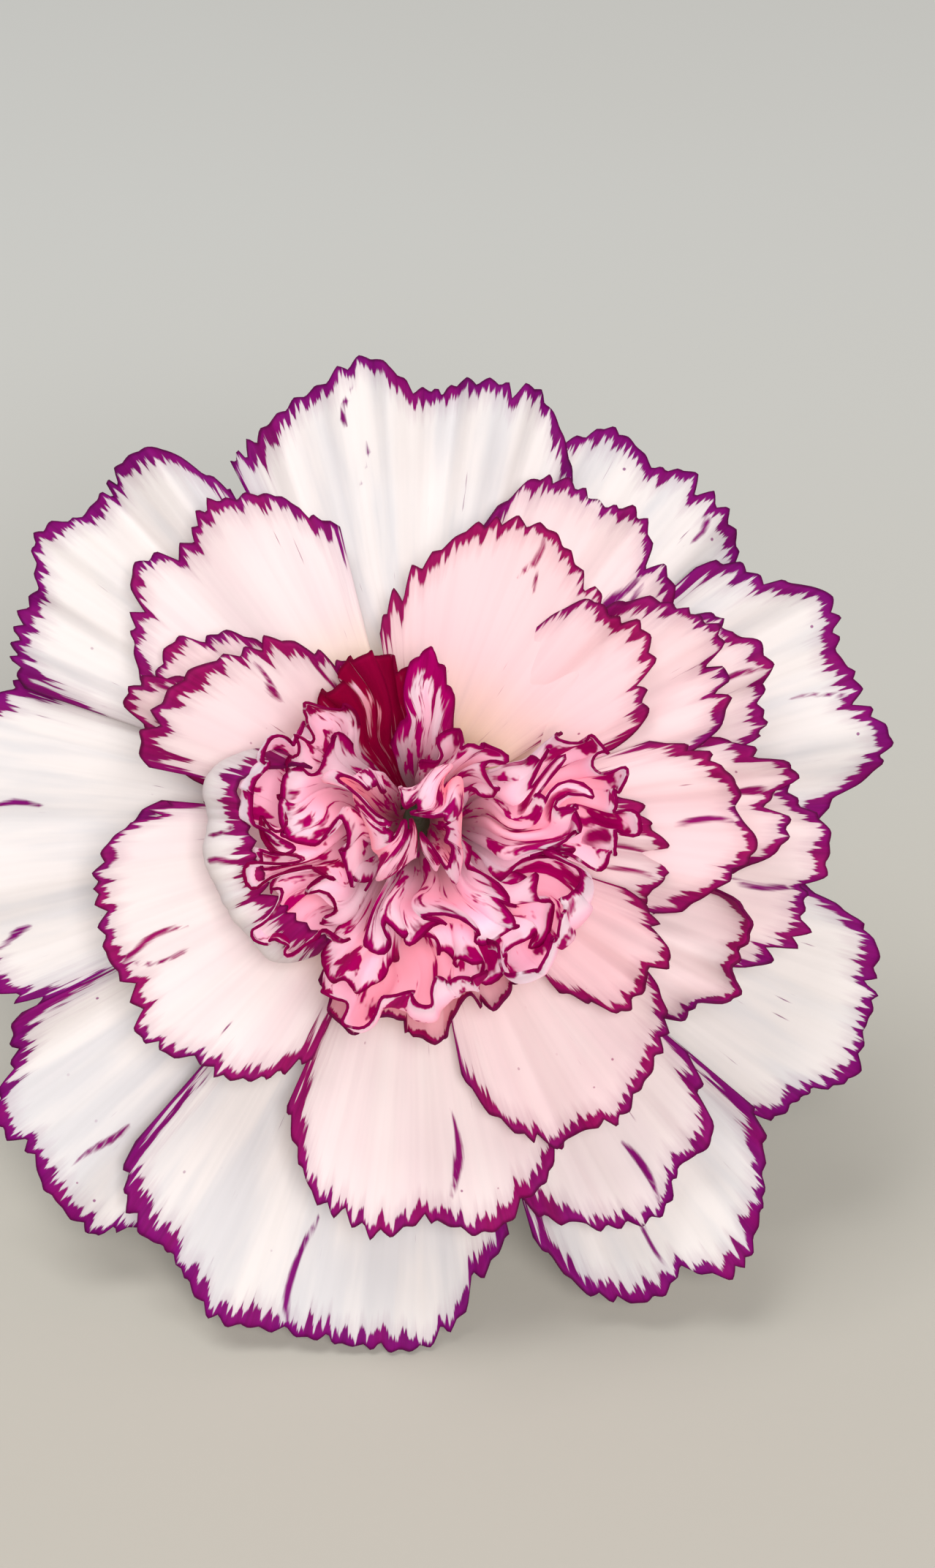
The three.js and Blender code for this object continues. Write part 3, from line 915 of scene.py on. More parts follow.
    def shape(
        self,
        ring: Ring,
        full: float,
        rows: int,
        across: np.ndarray,
        cuts: np.ndarray,
        drawn: list[Waves],
        number: int,
    ) -> tuple[np.ndarray, np.ndarray, np.ndarray, np.ndarray]:
        """Works out the petal's points in the bloom's frame.

        Args:
            ring: the ring it belongs to.
            full: its free length.
            rows: faces along it.
            across: each column's place, from -1 to 1.
            cuts: depth of the fringe at each column.
            drawn: the waves of its curl, ruffle and pucker.
            number: its place in the list.

        Returns:
            The points, each point's free length, the margin's free length and each point's distance from
            the axis.
        """
        share = np.clip(np.linspace(-CLAW_ROWS / (rows - CLAW_ROWS), 1, rows + 1), 0, 1)[:, None]
        depth = np.clip(np.arange(rows + 1)[:, None] / CLAW_ROWS, 0, 1)
        half = math.radians(self.span)
        rim = full * (1 - self.round * np.abs(across) ** self.taper) * (1 + self.skew * across)
        rim = rim * (1 + self.uneven * ripple(drawn[3], across)) - self.notch * np.exp(-((across * 6) ** 2))
        margin = rim - cuts
        length = share * rim - cuts * share**7

        # The plain profile's direction, bent by lean and curl, is summed up along the petal.
        step = np.diff(length, axis=0, prepend=0.0)
        near, far = ring.profile(np.maximum(length - 0.2, 0)), ring.profile(length + 0.2)
        heading = np.arctan2(far[0] - near[0], far[1] - near[1])
        heading = heading + math.radians(self.lean) * smooth(share / 0.8)
        bend = smooth((share - self.curl_from) / (1 - self.curl_from + 1e-6)) ** 1.3
        heading = heading + math.radians(self.curl) * bend * (1 + 0.3 * ripple(drawn[0], across))
        radius = ring.foot + np.cumsum(step * np.sin(heading), axis=0)
        height = np.cumsum(step * np.cos(heading), axis=0)

        skewed = across[None, :] + 0.08 * np.sin(3 * share + number)
        offset = self.ruffle * share**1.6 * ripple(drawn[1], skewed)
        offset = offset + self.pucker * share**3 * ripple(drawn[2], across)
        offset = offset - self.cup * (across**2 - 0.3) * share
        offset = offset + self.fold * (np.abs(across) - 0.5) * share**1.4
        radius = np.maximum(radius + offset * np.cos(heading), 0.3)
        height = height - offset * np.sin(heading) + CLAW_BASE * (1 - depth)

        claw_half = min(CLAW_WIDTH / 2 / ring.foot, half * 0.75)
        span = claw_half + (half - claw_half) * smooth(share / 0.5)
        turns, _, phase = drawn[1][1]
        slide = -self.loop * share**1.5 * np.sin(2 * (turns * skewed + phase))
        turn = math.radians(self.at) + span * (across[None, :] + slide / self.waves)
        own = np.stack([radius * np.cos(turn), radius * np.sin(turn), height + 0 * turn], -1)
        return own, length, margin, radius

    def dashes(
        self, across: np.ndarray, half: float, full: float, length: np.ndarray, margin: np.ndarray
    ) -> np.ndarray:
        """How far each point is from the petal's streaks.

        Args:
            across: each column's place, from -1 to 1.
            half: the petal's half span in radians.
            full: its free length.
            length: each point's free length.
            margin: the margin's free length at each column.

        Returns:
            Distance in millimetres outside the nearest streak, negative inside one.
        """
        nearest = np.full(length.shape, 9.0)
        radius = self.reach * BLOOM_RADIUS * length / full
        for streak in self.streaks:
            middle = math.radians(streak.at - self.at) / half
            inward = margin[None, :] - length
            share = np.clip((inward - streak.start) / streak.length, 0, 1)
            bow = 0.04 * np.sin(share * 4 + streak.at)
            sideways = np.abs(across[None, :] - middle - bow) * half * radius
            width = streak.width * 0.34 * np.sin(np.pi * share) ** 0.7
            beyond = np.maximum(streak.start - inward, inward - streak.start - streak.length)
            nearest = np.minimum(nearest, np.maximum(sideways - width, beyond))
        return nearest


PETALS = [
    # Outer guard ring, partly hidden.
    Petal(0, 52, 22, 0.845, ruffle=1.2, band=1.3, streaks=(Streak(46, 0, 5, 0.6),)),
    Petal(0, -27, 19, 0.955, ruffle=0.9, waves=1.6, lean=-4, round=0.24),
    Petal(0, -135, 19, 1.0, ruffle=1.2, waves=2.0, lean=-10, round=0.16,
          streaks=(Streak(-134, 3, 6, 0.7),)),
    Petal(0, -166, 12, 0.91, ruffle=0.8, lean=-6),
    # Inner guard ring.
    Petal(1, 91, 26, 0.865, ruffle=1.6, waves=2.6, pucker=0.4, round=0.14, taper=3.4, uneven=0.045,
          streaks=(Streak(99, 1, 4, 0.6), Streak(98, 7, 3, 0.4))),
    Petal(1, 19, 23, 0.905, ruffle=1.5, waves=2.2, band=1.4, round=0.2, uneven=0.04,
          streaks=(Streak(17, 0, 6, 0.6),)),
    Petal(1, -57, 17, 1.04, ruffle=1.2, waves=1.8, lean=-8, round=0.2,
          streaks=(Streak(-60, 0, 8, 0.5),)),
    Petal(1, -104, 27, 1.02, ruffle=0.8, waves=1.6, band=1.5, lean=-10, round=0.2, taper=3.4,
          streaks=(Streak(-104, -1, 11, 0.9),)),
    Petal(1, 183, 23, 0.95, ruffle=1.2, waves=2.2, round=0.16,
          streaks=(Streak(178, 4, 6, 0.7), Streak(196, 2, 5, 0.6))),
    Petal(1, 140, 21, 0.885, ruffle=1.6, waves=2.4, pucker=0.4, round=0.16, uneven=0.04),
    # Ring petals, from the outside in.
    Petal(2, 57, 20, 0.72, blush=0.26, wine=0.22, ruffle=0.9, band=1.2, round=0.18,
          streaks=(Streak(48, 1, 6, 0.7), Streak(45, 2, 5, 0.6))),
    Petal(2, 25, 14, 0.735, blush=0.26, wine=0.22, ruffle=0.8, band=1.1, round=0.16,
          streaks=(Streak(24, 0, 5, 0.7),)),
    Petal(2, -8, 17, 0.79, blush=0.24, wine=0.22, ruffle=0.9, band=1.2, round=0.16,
          streaks=(Streak(-10, 1, 6, 0.7),)),
    Petal(2, -58, 18, 0.87, blush=0.16, wine=0.2, ruffle=0.9, band=1.3, round=0.22,
          streaks=(Streak(-57, 0, 7, 0.8),)),
    Petal(2, -151, 34, 0.6, blush=0.24, wine=0.2, ruffle=0.8, band=1.2),
    Petal(2, 131, 27, 0.71, blush=0.2, wine=0.22, ruffle=1.0, waves=2, band=1.2, round=0.2, skew=-0.05,
          uneven=0.05),
    Petal(3, 147, 17, 0.57, blush=0.3, wine=0.3, ruffle=0.8, band=1.1, round=0.24,
          streaks=(Streak(158, 0, 5, 0.8), Streak(152, 0, 4, 0.7))),
    Petal(3, 31, 17, 0.675, blush=0.34, wine=0.28, ruffle=0.8, band=1.1, round=0.2),
    Petal(3, 3, 14, 0.72, blush=0.3, wine=0.28, ruffle=0.8, band=1.1, notch=1.6,
          streaks=(Streak(5, 0, 5, 0.7),)),
    Petal(3, -25, 15, 0.69, blush=0.24, wine=0.28, ruffle=0.9, band=1.3, curl=-40, fold=1.2),
    Petal(3, -87, 27, 0.785, blush=0.2, wine=0.25, ruffle=0.9, waves=1.8, band=1.3, round=0.24,
          taper=3.2, streaks=(Streak(-83, 2, 8, 0.9),)),
    Petal(3, -155, 32, 0.5, blush=0.3, wine=0.3, ruffle=0.8),
    Petal(4, 40, 20, 0.56, blush=0.46, wine=0.4, ruffle=0.6, band=1.0, round=0.28, lean=8),
    Petal(4, -1, 20, 0.64, blush=0.36, wine=0.35, ruffle=0.7, band=1.0, round=0.24, lean=5,
          streaks=(Streak(0, 0, 6, 0.7),)),
    Petal(4, -55, 24, 0.68, blush=0.26, wine=0.32, ruffle=0.9, band=1.1, waves=2.4, round=0.28, lean=5),
    Petal(4, -149, 36, 0.64, blush=0.18, wine=0.25, ruffle=0.5, waves=1.4, band=1.0, cup=0.8, round=0.26,
          taper=2.4, notch=1.2, lean=8, streaks=(Streak(-155, 0, 7, 0.8), Streak(-152, 1, 5, 0.6))),
    Petal(4, 155, 17, 0.57, blush=0.3, wine=0.35, band=1.1, fold=2.0, round=0.4, taper=1.6, lean=6,
          streaks=(Streak(158, 2, 6, 1.0), Streak(151, 0, 4, 0.6))),
    Petal(5, 66, 34, 0.595, blush=0.42, wine=0.45, ruffle=0.35, waves=1.0, pucker=0.06, band=1.0,
          cup=1.4, lean=28, round=0.4, taper=2.2,
          streaks=(Streak(66, 0, 5, 0.7), Streak(64, 2, 3, 0.4))),
    Petal(5, -9, 17, 0.485, blush=0.3, wine=0.4, ruffle=0.9, waves=3, band=1.2, curl=40, lean=10,
          crumpled=0.4, streaks=(Streak(-2, 0, 6, 0.7), Streak(-7, 0, 7, 0.6), Streak(-13, 0, 5, 0.5))),
    Petal(5, -33, 16, 0.55, blush=0.4, wine=0.4, ruffle=0.7, band=0.9, lean=6),
    Petal(5, -86, 34, 0.39, blush=0.5, wine=0.4, band=0.8, ruffle=0.9, waves=3, loop=0.12, pucker=0.2,
          round=0.1, taper=4, curl=-40, curl_from=0.5, crumpled=0.35),
    Petal(5, -167, 42, 0.395, blush=0.08, wine=0.3, band=1.7, ruffle=0.3, waves=1.5, pucker=0.05,
          curl=-118, curl_from=0.52, streaks=(Streak(-168, 0, 5, 0.7), Streak(-178, 0, 4, 0.5))),
    Petal(5, 130, 38, 0.44, blush=0.25, wine=0.35, band=1.5, ruffle=0.7, waves=2, skew=0.42, round=0.16,
          lean=6, crumpled=0.15,
          streaks=(Streak(120, 0, 5, 0.7), Streak(104, 0, 5, 0.8), Streak(136, 1, 5, 0.6))),
    # Heart.
    Petal(6, 8, 25, 0.41, blush=0.35, wine=0.35, band=0.5, ruffle=1.4, waves=4.4, loop=0.3, curl=-30,
          curl_from=0.5, crumpled=0.7,
          streaks=(Streak(14, 0, 7, 0.7), Streak(2, 0, 8, 0.6), Streak(-6, 1, 6, 0.7))),
    Petal(6, -36, 24, 0.38, blush=0.3, wine=0.4, band=0.58, ruffle=1.0, waves=3.0, loop=0.25, curl=-60,
          curl_from=0.5, crumpled=0.7, streaks=(Streak(-30, 0, 4, 0.8),)),
    Petal(6, -91, 28, 0.37, blush=0.4, wine=0.5, band=0.5, ruffle=1.0, waves=3.4, loop=0.2, round=0.14,
          curl=-55, curl_from=0.5, crumpled=0.6),
    Petal(6, 167, 31, 0.32, blush=0.2, wine=0.35, band=0.65, ruffle=1.1, waves=3.2, loop=0.25, curl=-60,
          curl_from=0.5, crumpled=0.7),
    Petal(6, 108, 24, 0.33, blush=0.6, wine=1.0, wash=0.7, band=1.2, ruffle=1.2, waves=3.4, loop=0.25,
          curl=10, crumpled=0.9),
    Petal(6, -140, 20, 0.35, blush=0.35, wine=0.45, band=0.58, ruffle=1.1, waves=3.0, loop=0.25,
          curl=-50, curl_from=0.5, crumpled=0.7),
    Petal(7, 6, 29, 0.31, blush=0.3, wine=0.35, band=0.58, ruffle=1.5, waves=4.8, loop=0.35, curl=-10,
          curl_from=0.6, crumpled=0.9,
          streaks=(Streak(20, 0, 6, 0.6), Streak(6, 0, 7, 0.7), Streak(-4, 0, 6, 0.6))),
    Petal(7, -56, 33, 0.31, blush=0.4, wine=0.4, band=0.58, ruffle=1.5, waves=3.8, loop=0.3, curl=10,
          crumpled=0.9),
    Petal(7, -165, 36, 0.28, blush=0.25, wine=0.7, wash=0.1, band=0.65, ruffle=1.4, waves=3.6, loop=0.3,
          curl=-30, curl_from=0.6, crumpled=0.9),
    Petal(7, 83, 21, 0.31, blush=0.2, wine=0.3, wash=0.25, band=1.0, ruffle=0.5, waves=2, round=0.5,
          taper=1.4, curl=20, crumpled=0.6),
    Petal(7, -111, 17, 0.32, blush=0.5, wine=0.6, band=0.58, ruffle=1.0, waves=3, fold=1.6, round=0.4,
          taper=1.5, curl=10, crumpled=0.8),
    Petal(7, 138, 16, 0.28, blush=0.35, wine=0.7, wash=0.2, band=0.65, ruffle=1.0, waves=3, curl=-35,
          crumpled=0.8),
    Petal(8, 44, 42, 0.17, blush=0.4, wine=0.3, wash=0.25, band=0.58, ruffle=1.5, waves=3.6, loop=0.3,
          crumpled=1.0),
    Petal(8, -66, 48, 0.23, blush=0.3, wine=0.3, wash=0.2, band=0.65, ruffle=1.6, waves=3.8, loop=0.3,
          curl=15, crumpled=1.0),
    Petal(8, 176, 50, 0.22, blush=0.25, wine=0.35, wash=0.2, band=0.65, ruffle=1.5, waves=3.8, loop=0.3,
          curl=15, crumpled=1.0),
    Petal(9, 10, 80, 0.11, blush=0.5, wine=0.4, wash=0.3, band=0.58, ruffle=1.2, waves=3.6, loop=0.2,
          curl=-40, curl_from=0.5, crumpled=1.0),
    Petal(9, 188, 80, 0.11, blush=0.5, wine=0.5, wash=0.3, band=0.58, ruffle=1.2, waves=3.6, loop=0.2,
          curl=-40, curl_from=0.5, crumpled=1.0),
]


# ---------- calyx and bracts ----------
@dataclass
class Calyx:
    """The ribbed green tube that holds the petals' claws, and the four bracts at its foot."""

    bloom: Bloom
    teeth: int = 5
    tooth_height: float = 4.4
    tooth_clearance: float = 0.7  # from a tooth's tip to the mouth
    tube_wall: float = CALYX_WALL * 0.8
    rib_depth: float = 0.09
    ribs: int = 35
    cleft_depth: float = 0.12  # of the groove that runs down from between two teeth
    bracts: int = 4
    bract_foot: float = 0.9  # from the calyx's foot up to a bract's, and out from the calyx
    bract_height: float = 9.0
    bract_span: float = 56.0
    bract_thickness: float = 0.5
    bract_stagger: float = 1.35  # from an inner bract out to an outer one

    def radius(self, height: np.ndarray) -> np.ndarray:
        """Outer radius of the tube at a height."""
        levels, radii = zip(*CALYX_OUTLINE)
        return np.interp(height, levels, radii)

    def build(self, finish: bpy.types.Material) -> None:
        """Builds the tube with its teeth, and the bracts.

        Args:
            finish: the calyx's material.
        """
        columns, rows = 210, 56
        turn = np.linspace(0, 2 * math.pi, columns + 1)[None, :]
        share = np.linspace(0, 1, rows + 1)[:, None]
        phase = np.mod(turn * self.teeth / (2 * math.pi), 1.0)
        tooth = 1 - np.abs(2 * phase - 1)
        rim = -self.tooth_clearance - self.tooth_height * (1 - tooth**0.8)
        height = -CALYX_LENGTH + share * (rim + CALYX_LENGTH)
        relief = self.rib_depth * np.cos(self.ribs * turn) * smooth(share * 4)
        cleft = self.cleft_depth * (1 - smooth(phase * 9)) * share
        radius = self.radius(height) + relief - cleft
        flat = np.stack([radius * np.cos(turn), radius * np.sin(turn), height + 0 * turn], -1)
        places = self.bloom.placed(flat.reshape(-1, 3)).reshape(flat.shape)
        edge = (rim - height) * 0.6 + 0 * turn
        fields = {
            "form": three(edge, 0.0, height + CALYX_LENGTH, edge),
            "lines": three(turn * CALYX_RADIUS, 3.0, 0.0, edge),
        }
        tube = Lattice("calyx_tube", columns, rows)
        tube.mould(places, fields, finish)
        tube.weld()
        tube.thicken(self.tube_wall, -1.0)
        tube.stand_for("calyx", "calyx")
        for index in range(self.bracts):
            self.bract(index, finish)

    def bract(self, index: int, finish: bpy.types.Material) -> None:
        """Builds one of the clasping bracts. The outer pair lies over the inner pair.

        Args:
            index: its place round the calyx, where odd ones are outer.
            finish: its material.
        """
        columns, rows = 36, 30
        across = np.linspace(-1, 1, columns + 1)[None, :]
        share = np.linspace(0, 1, rows + 1)[:, None]
        stand = GAP + 0.3 + (index % 2) * self.bract_stagger
        span = math.radians(self.bract_span) * np.maximum(1 - share**3.2, 0.03)
        height = -CALYX_LENGTH + self.bract_foot + share * self.bract_height
        cup = smooth((height + CALYX_LENGTH) / CUP_HEIGHT)
        low, high = CALYX_FOOT + self.bract_foot, CALYX_RADIUS + 0.3
        radius = low + (high - low) * cup + stand
        radius = radius + 0.5 * share**6 - 0.12 * across**2 + 0.05 * np.cos(across * 22)
        turn = math.radians(360 / self.bracts * (index + 0.5)) + across * span
        flat = np.stack([radius * np.cos(turn), radius * np.sin(turn), height + 0 * turn], -1)
        places = self.bloom.placed(flat.reshape(-1, 3)).reshape(flat.shape)
        edge = np.minimum((1 - np.abs(across)) * span * radius, (1 - share) * self.bract_height)
        fields = {
            "form": three(edge, 0.0, height + CALYX_LENGTH, edge),
            "lines": three(across * span * radius, 11.0 + index, 0.0, edge),
        }
        made = Lattice(f"bract_blade_{index + 1}", columns, rows)
        made.mould(places, fields, finish)
        made.thicken(self.bract_thickness)
        made.stand_for(f"bract_{index + 1}", "calyx")


# ---------- stem and leaves ----------
@dataclass(frozen=True)
class Leaf:
    """One leaf: its joint's share of the stem, its bearing round it, its sideways curl and its size."""

    joint: float
    around: float
    curl: float
    size: float


LEAVES = (
    Leaf(0.28, 52, 4, 0.6),
    Leaf(0.28, 232, -3, 0.66),
    Leaf(0.76, 10, 8, 1.0),
    Leaf(0.76, 170, -6, 0.9),
)


@dataclass
class Stem:
    """The cut stem with its leaf joints, and the leaves that clasp them."""

    bloom: Bloom
    reach: float = 150.0  # of its cut end along the part's +Y, from the calyx mouth
    landing: float = 92.0  # where it comes down to the surface
    drift: float = 9.0  # of its cut end to one side
    swell: float = 1.1  # of its joints over its own radius
    joint_length: float = 0.018  # share of its length within which a joint swells
    leaf_length: float = 58.0
    leaf_width: float = 5.4
    leaf_thickness: float = 0.6
    leaf_start: float = 10.0  # degrees by which a leaf leaves the stem
    leaf_curl: float = 95.0  # degrees by which its tip has turned away
    leaf_taper_from: float = 0.45  # share of its length at which it starts to narrow
    clasp_span: float = 62.0

    def __post_init__(self) -> None:
        """Works out the path from under the calyx down to the surface and along it to the cut end."""
        own = self.bloom.matrix
        tilt = math.radians(BLOOM_TILT)
        rest = STEM_RADIUS + self.swell
        top = own[:3, :3] @ np.array([0, 0, NECK_LEVEL]) + own[:3, 3]
        way = np.array([0, math.cos(tilt), -math.sin(tilt)])
        land = np.array([self.drift * 0.3, self.landing, rest])
        end = np.array([self.drift, self.reach, rest])
        approach = (self.landing - top[1]) * 0.42
        first = [top, top + way * approach, land + np.array([-self.drift * 0.14, -approach, 0]), land]
        past = land + np.array([self.drift * 0.11, approach * 0.8, 0])
        second = [land, past, end + np.array([-self.drift * 0.25, -approach * 0.8, 0]), end]
        t = np.linspace(0, 1, 401)[:, None]
        bends = [
            (1 - t) ** 3 * a + 3 * t * (1 - t) ** 2 * b + 3 * t * t * (1 - t) * c + t**3 * d
            for a, b, c, d in (first, second)
        ]
        self.path = np.concatenate([bends[0], bends[1][1:]])
        walked = np.linalg.norm(np.diff(self.path, axis=0), axis=1)
        self.walked = np.concatenate([[0], np.cumsum(walked)])

    def at(self, share: np.ndarray) -> tuple[np.ndarray, np.ndarray, np.ndarray, np.ndarray]:
        """The stem's path at some places.

        Args:
            share: shares of its length.

        Returns:
            Point, direction, side and up at each.
        """
        along = np.asarray(share, float) * self.walked[-1]
        point = np.stack([np.interp(along, self.walked, self.path[:, k]) for k in range(3)], -1)
        slope = np.gradient(self.path, self.walked, axis=0)
        way = np.stack([np.interp(along, self.walked, slope[:, k]) for k in range(3)], -1)
        way /= np.linalg.norm(way, axis=-1, keepdims=True)
        side = np.cross(way, [0, 0, 1.0])
        side /= np.linalg.norm(side, axis=-1, keepdims=True)
        return point, way, side, np.cross(side, way)

    def radius(self, share: np.ndarray) -> np.ndarray:
        """Radius of the stem, which swells at its joints.

        Args:
            share: shares of its length.

        Returns:
            The radius at each.
        """
        swell = 0 * share
        for joint in sorted({leaf.joint for leaf in LEAVES}):
            swell = np.maximum(swell, np.exp(-(((share - joint) / self.joint_length) ** 2)))
        return STEM_RADIUS + self.swell * swell

    def build(self, finish: bpy.types.Material, leaf_finish: bpy.types.Material) -> None:
        """Builds the stem from its seat in the calyx to its cut end, and then its leaves.

        Args:
            finish: the stem's material.
            leaf_finish: the leaves' material.
        """
        columns, run = 48, 220
        share = np.linspace(0, 1, run)
        point, way, side, up = self.at(share)
        radius = self.radius(share)
        head = np.array(SEAT_OUTLINE)
        seat = self.bloom.matrix[:3, :3] @ np.stack([0 * head[:, 0], 0 * head[:, 0], head[:, 0]])
        seat = seat.T + self.bloom.matrix[:3, 3]
        # The cut end's rings: share of the radius, distance past the end and how far the pith shows.
        cut_radii = np.array([0.97, 0.86, 0.55, 0.25, 0.0]) * radius[-1]
        cut_back = np.array([0.12, 0.16, 0.16, 0.2, 0.22])
        pith = [0.3, 0.7, 1.0, 1.0, 1.0]
        centres = np.vstack([seat, point, point[-1] + np.outer(cut_back, way[-1])])
        radii = np.concatenate([head[:, 1], radius, cut_radii])
        pad = ((len(head), len(cut_radii)), (0, 0))
        sides, ups = np.pad(side, pad, "edge"), np.pad(up, pad, "edge")
        turn = np.linspace(0, 2 * math.pi, columns + 1)[None, :, None]
        lobes = 1 + 0.012 * np.cos(6 * turn)
        ring = sides[:, None] * np.cos(turn) + ups[:, None] * np.sin(turn)
        places = centres[:, None] + radii[:, None, None] * lobes * ring + self.bloom.shift
        like = np.zeros(places.shape[:2])
        last = np.full(len(cut_radii), self.walked[-1])
        walked = np.concatenate([np.zeros(len(head)), share * self.walked[-1], last])
        cut = np.concatenate([np.zeros(len(head) + run), pith])
        fields = {
            "form": three(9.0, cut[:, None], walked[:, None], like),
            "lines": three(turn[..., 0] * STEM_RADIUS, 21.0, 0.0, like),
        }
        made = Lattice("stem_stalk", columns, len(centres) - 1)
        made.mould(places, fields, finish)
        made.weld()
        made.stand_for("stem", "stem")
        for index, leaf in enumerate(LEAVES):
            self.leaf(index, leaf, leaf_finish)

    def leaf(self, index: int, leaf: Leaf, finish: bpy.types.Material) -> None:
        """Builds one narrow channelled leaf, whose foot clasps the stem and whose tip curls away.

        Args:
            index: its place in the list.
            leaf: its sizes.
            finish: its material.
        """
        columns, rows = 28, 120
        root, along, side, up = (v[0] for v in self.at(np.array([leaf.joint])))
        around = math.radians(leaf.around)
        away = side * math.cos(around) + up * math.sin(around)
        sideways = np.cross(along, away)
        t = np.linspace(0, 1, rows + 1)
        lean = np.radians(self.leaf_start + (self.leaf_curl - self.leaf_start) * t**1.4)
        step = leaf.size * self.leaf_length / rows
        clasp = STEM_RADIUS + self.swell + GAP + self.leaf_thickness / 2
        forward = np.concatenate([[0], np.cumsum(step * np.cos(lean[:-1]))])[:, None]
        lift = clasp + np.concatenate([[0], np.cumsum(step * np.sin(lean[:-1]))])[:, None]
        t = t[:, None]
        narrowed = np.clip((t - self.leaf_taper_from) / (1 - self.leaf_taper_from), 0, 1) ** 1.7
        width = self.leaf_width * np.maximum(1 - narrowed, 0.03)
        hug = np.maximum(1 - t * 5, 0)
        v = np.linspace(-1, 1, columns + 1)[None, :]
        turn = v * math.radians(self.clasp_span)
        keel = 0.28 * np.exp(-((v / 0.12) ** 2)) * (1 - hug)
        channel = lift + 0.3 * width * v * v * (1 - 0.5 * t) - keel
        wavy = 0.25 * np.sin(t * 23 + index) * v * t
        level = (1 - hug) * (channel + wavy) + hug * clasp * np.cos(turn)
        across = (1 - hug) * v * width / 2 + hug * clasp * np.sin(turn) + leaf.curl * t**2
        places = root - forward[..., None] * along + across[..., None] * sideways + level[..., None] * away
        places[..., 2] = np.maximum(places[..., 2], self.leaf_thickness * 0.6)
        edge = np.minimum((1 - np.abs(v)) * width / 2 * 2.2, (1 - t) * self.leaf_length * leaf.size * 0.4)
        fields = {
            "form": three(edge, 0.55 * hug, t * self.leaf_length * leaf.size, edge),
            "lines": three(v * width / 2, 31.0 + index, 0.0, edge),
        }
        made = Lattice(f"leaf_blade_{index + 1}", columns, rows)
        made.mould(places + self.bloom.shift, fields, finish)
        made.thicken(self.leaf_thickness * 0.8)
        made.stand_for(f"leaf_{index + 1}", "leaf")


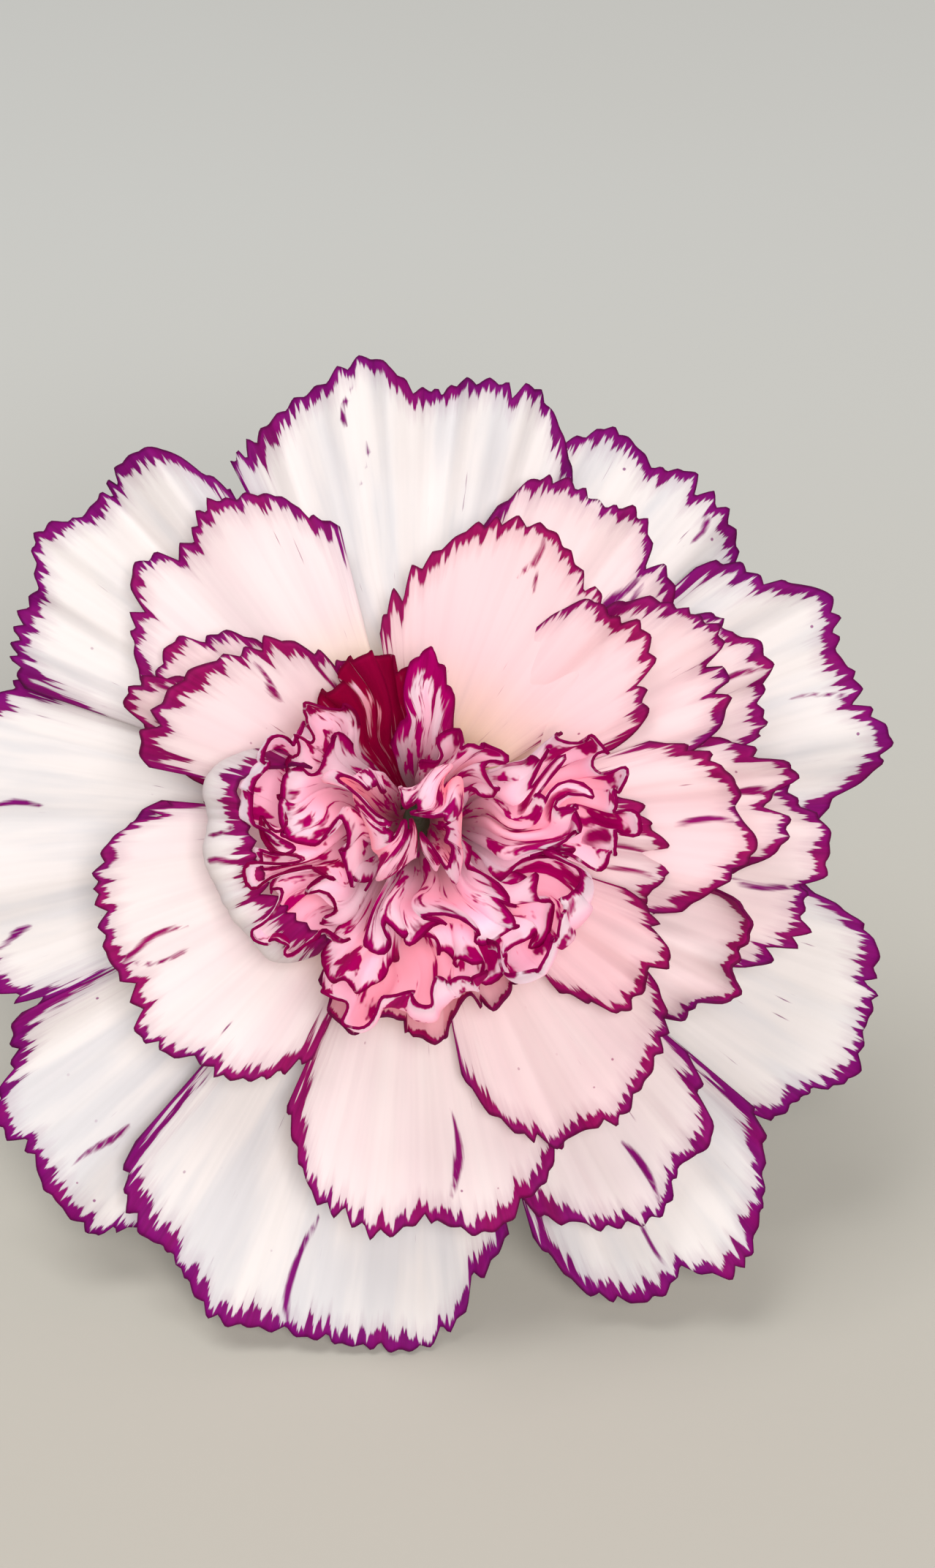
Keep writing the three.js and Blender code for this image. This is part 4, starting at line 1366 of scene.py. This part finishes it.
# ---------- studio ----------
@dataclass
class Studio:
    """Floor, lights, sky and camera."""

    bloom: Bloom
    frame_height: float = 127.0  # mm of the bloom's face plane that the frame is high
    aside: float = 4.4  # mm the frame's middle is to the right of the bloom's axis
    above: float = 3.1  # mm the frame's middle is above the bloom's axis
    floor_half: float = 4000.0  # mm from the floor's middle to its side
    floor_drop: float = 0.02  # mm that the floor is under the flower
    sky_strength: float = 0.4

    def build(self) -> None:
        """Stages the floor and sets lights, sky and camera."""
        self.floor()
        self.lights()
        self.camera()

    def floor(self) -> None:
        """A wide plain surface under the flower."""
        made = Lattice("floor", 2, 2)
        steps = np.array([-1.0, 0.0, 1.0]) * self.floor_half
        x, y = np.meshgrid(steps, steps)
        places = np.stack([x, y, np.full_like(x, -self.floor_drop)], -1)
        made.mould(places, {}, PaperFinish().build())

    def lights(self) -> None:
        """A soft lamp above the bloom, a stronger one farther off in front of it, and an even sky."""
        world = bpy.data.worlds.new("studio_sky")
        world.use_nodes = True
        sky = world.node_tree.nodes["Background"]
        sky.inputs[0].default_value = linear("#FDFDFF")
        sky.inputs[1].default_value = self.sky_strength
        bpy.context.scene.world = world
        self.lamp("soft_window", (-0.3, -0.25, 1.05), 0.6, 4.8, "#FFFFFF")
        self.lamp("front_fill", (0.3, -2.2, 1.24), 0.8, 52.0, "#FFFEFC")

    def lamp(self, name: str, place: tuple[float, ...], size: float, power: float, tone: str) -> None:
        """Adds a square lamp that faces the bloom.

        Args:
            name: the lamp's name.
            place: metres from the calyx mouth.
            size: metres along each side.
            power: watts.
            tone: its colour as "#RRGGBB".
        """
        data = bpy.data.lights.new(name, "AREA")
        data.size = size
        data.energy = power
        data.color = linear(tone)[:3]
        made = bpy.data.objects.new(name, data)
        bpy.context.scene.collection.objects.link(made)
        made.location = self.bloom.point(0, 0, 0) + Vector(place)
        made.rotation_euler = (self.bloom.point(0, 0, 0) - made.location).to_track_quat("-Z", "Y").to_euler()

    def camera(self) -> None:
        """A camera that looks straight into the bloom, down along its axis."""
        data = bpy.data.cameras.new("camera")
        made = bpy.data.objects.new("camera", data)
        bpy.context.scene.collection.objects.link(made)
        made.location = self.bloom.point(self.aside, self.above, FACE_LEVEL + VIEW_DISTANCE)
        made.rotation_euler = (-self.bloom.direction(0, 0, 1)).to_track_quat("-Z", "Y").to_euler()
        data.sensor_fit = "VERTICAL"
        data.sensor_height = 24.0
        data.lens = data.sensor_height * VIEW_DISTANCE / self.frame_height
        data.clip_start = 0.01
        bpy.context.scene.camera = made
        bpy.context.scene.view_settings.view_transform = "Standard"


def main() -> None:
    """Builds the flower and its studio."""
    bloom = Bloom()
    bloom.settle()
    log.info("bloom shift %s", bloom.shift)
    heart = PetalFinish(
        "heart_petal_tissue",
        pale="#FFF0F6",
        blushed="#FFD6E6",
        warm="#FFB0BE",
        # The heart's claw tone is a dark crimson painted shade that fills the bloom's depth near the calyx
        # mouth.
        claw_tone_and_depth_shade="#7C0A30",
        claw_reach=20.0,
        violet="#B00078",
        magenta="#B4006C",
        crimson="#960038",
        shade_line="#5E0024",
        dash_level=0.555,
        # painted light and shade: paler margins and pinker depths in the heart
        depth=0.32,
        afterglow=0.31,
        specular=0.08,
        glow=0.42,
    )
    finishes = {
        Kind.GUARD: PetalFinish("guard_petal_tissue").build(),
        Kind.RING: PetalFinish("ring_petal_tissue", claw_reach=17.0, afterglow=0.04).build(),
        Kind.HEART: heart.build(),
    }
    made = dict.fromkeys(Kind, 0)
    for number, petal in enumerate(PETALS):
        kind = RINGS[petal.ring].kind
        made[kind] += 1
        name = f"{kind.value}_petal_{made[kind]:02d}"
        petal.build(name, number, bloom, finishes[kind]).stand_for(name, f"{kind.value}_petal")
    log.info("petals: %s", made)
    Calyx(bloom).build(GreenFinish("calyx_tissue", "#7C9A66", "#A9C29C", "#A8A77E", 0.9, 0.45).build())
    log.info("calyx and bracts")
    stalk = GreenFinish("stem_tissue", "#6F9160", "#A5BFA0", "#A8A77E", 0.8, 0.55).build()
    blade = GreenFinish("leaf_tissue", "#668B68", "#A3BFAE", "#8FA68A", 0.75, 0.65).build()
    Stem(bloom).build(stalk, blade)
    log.info("stem and %d leaves", len(LEAVES))
    Studio(bloom).build()


if __name__ == "__main__":
    main()
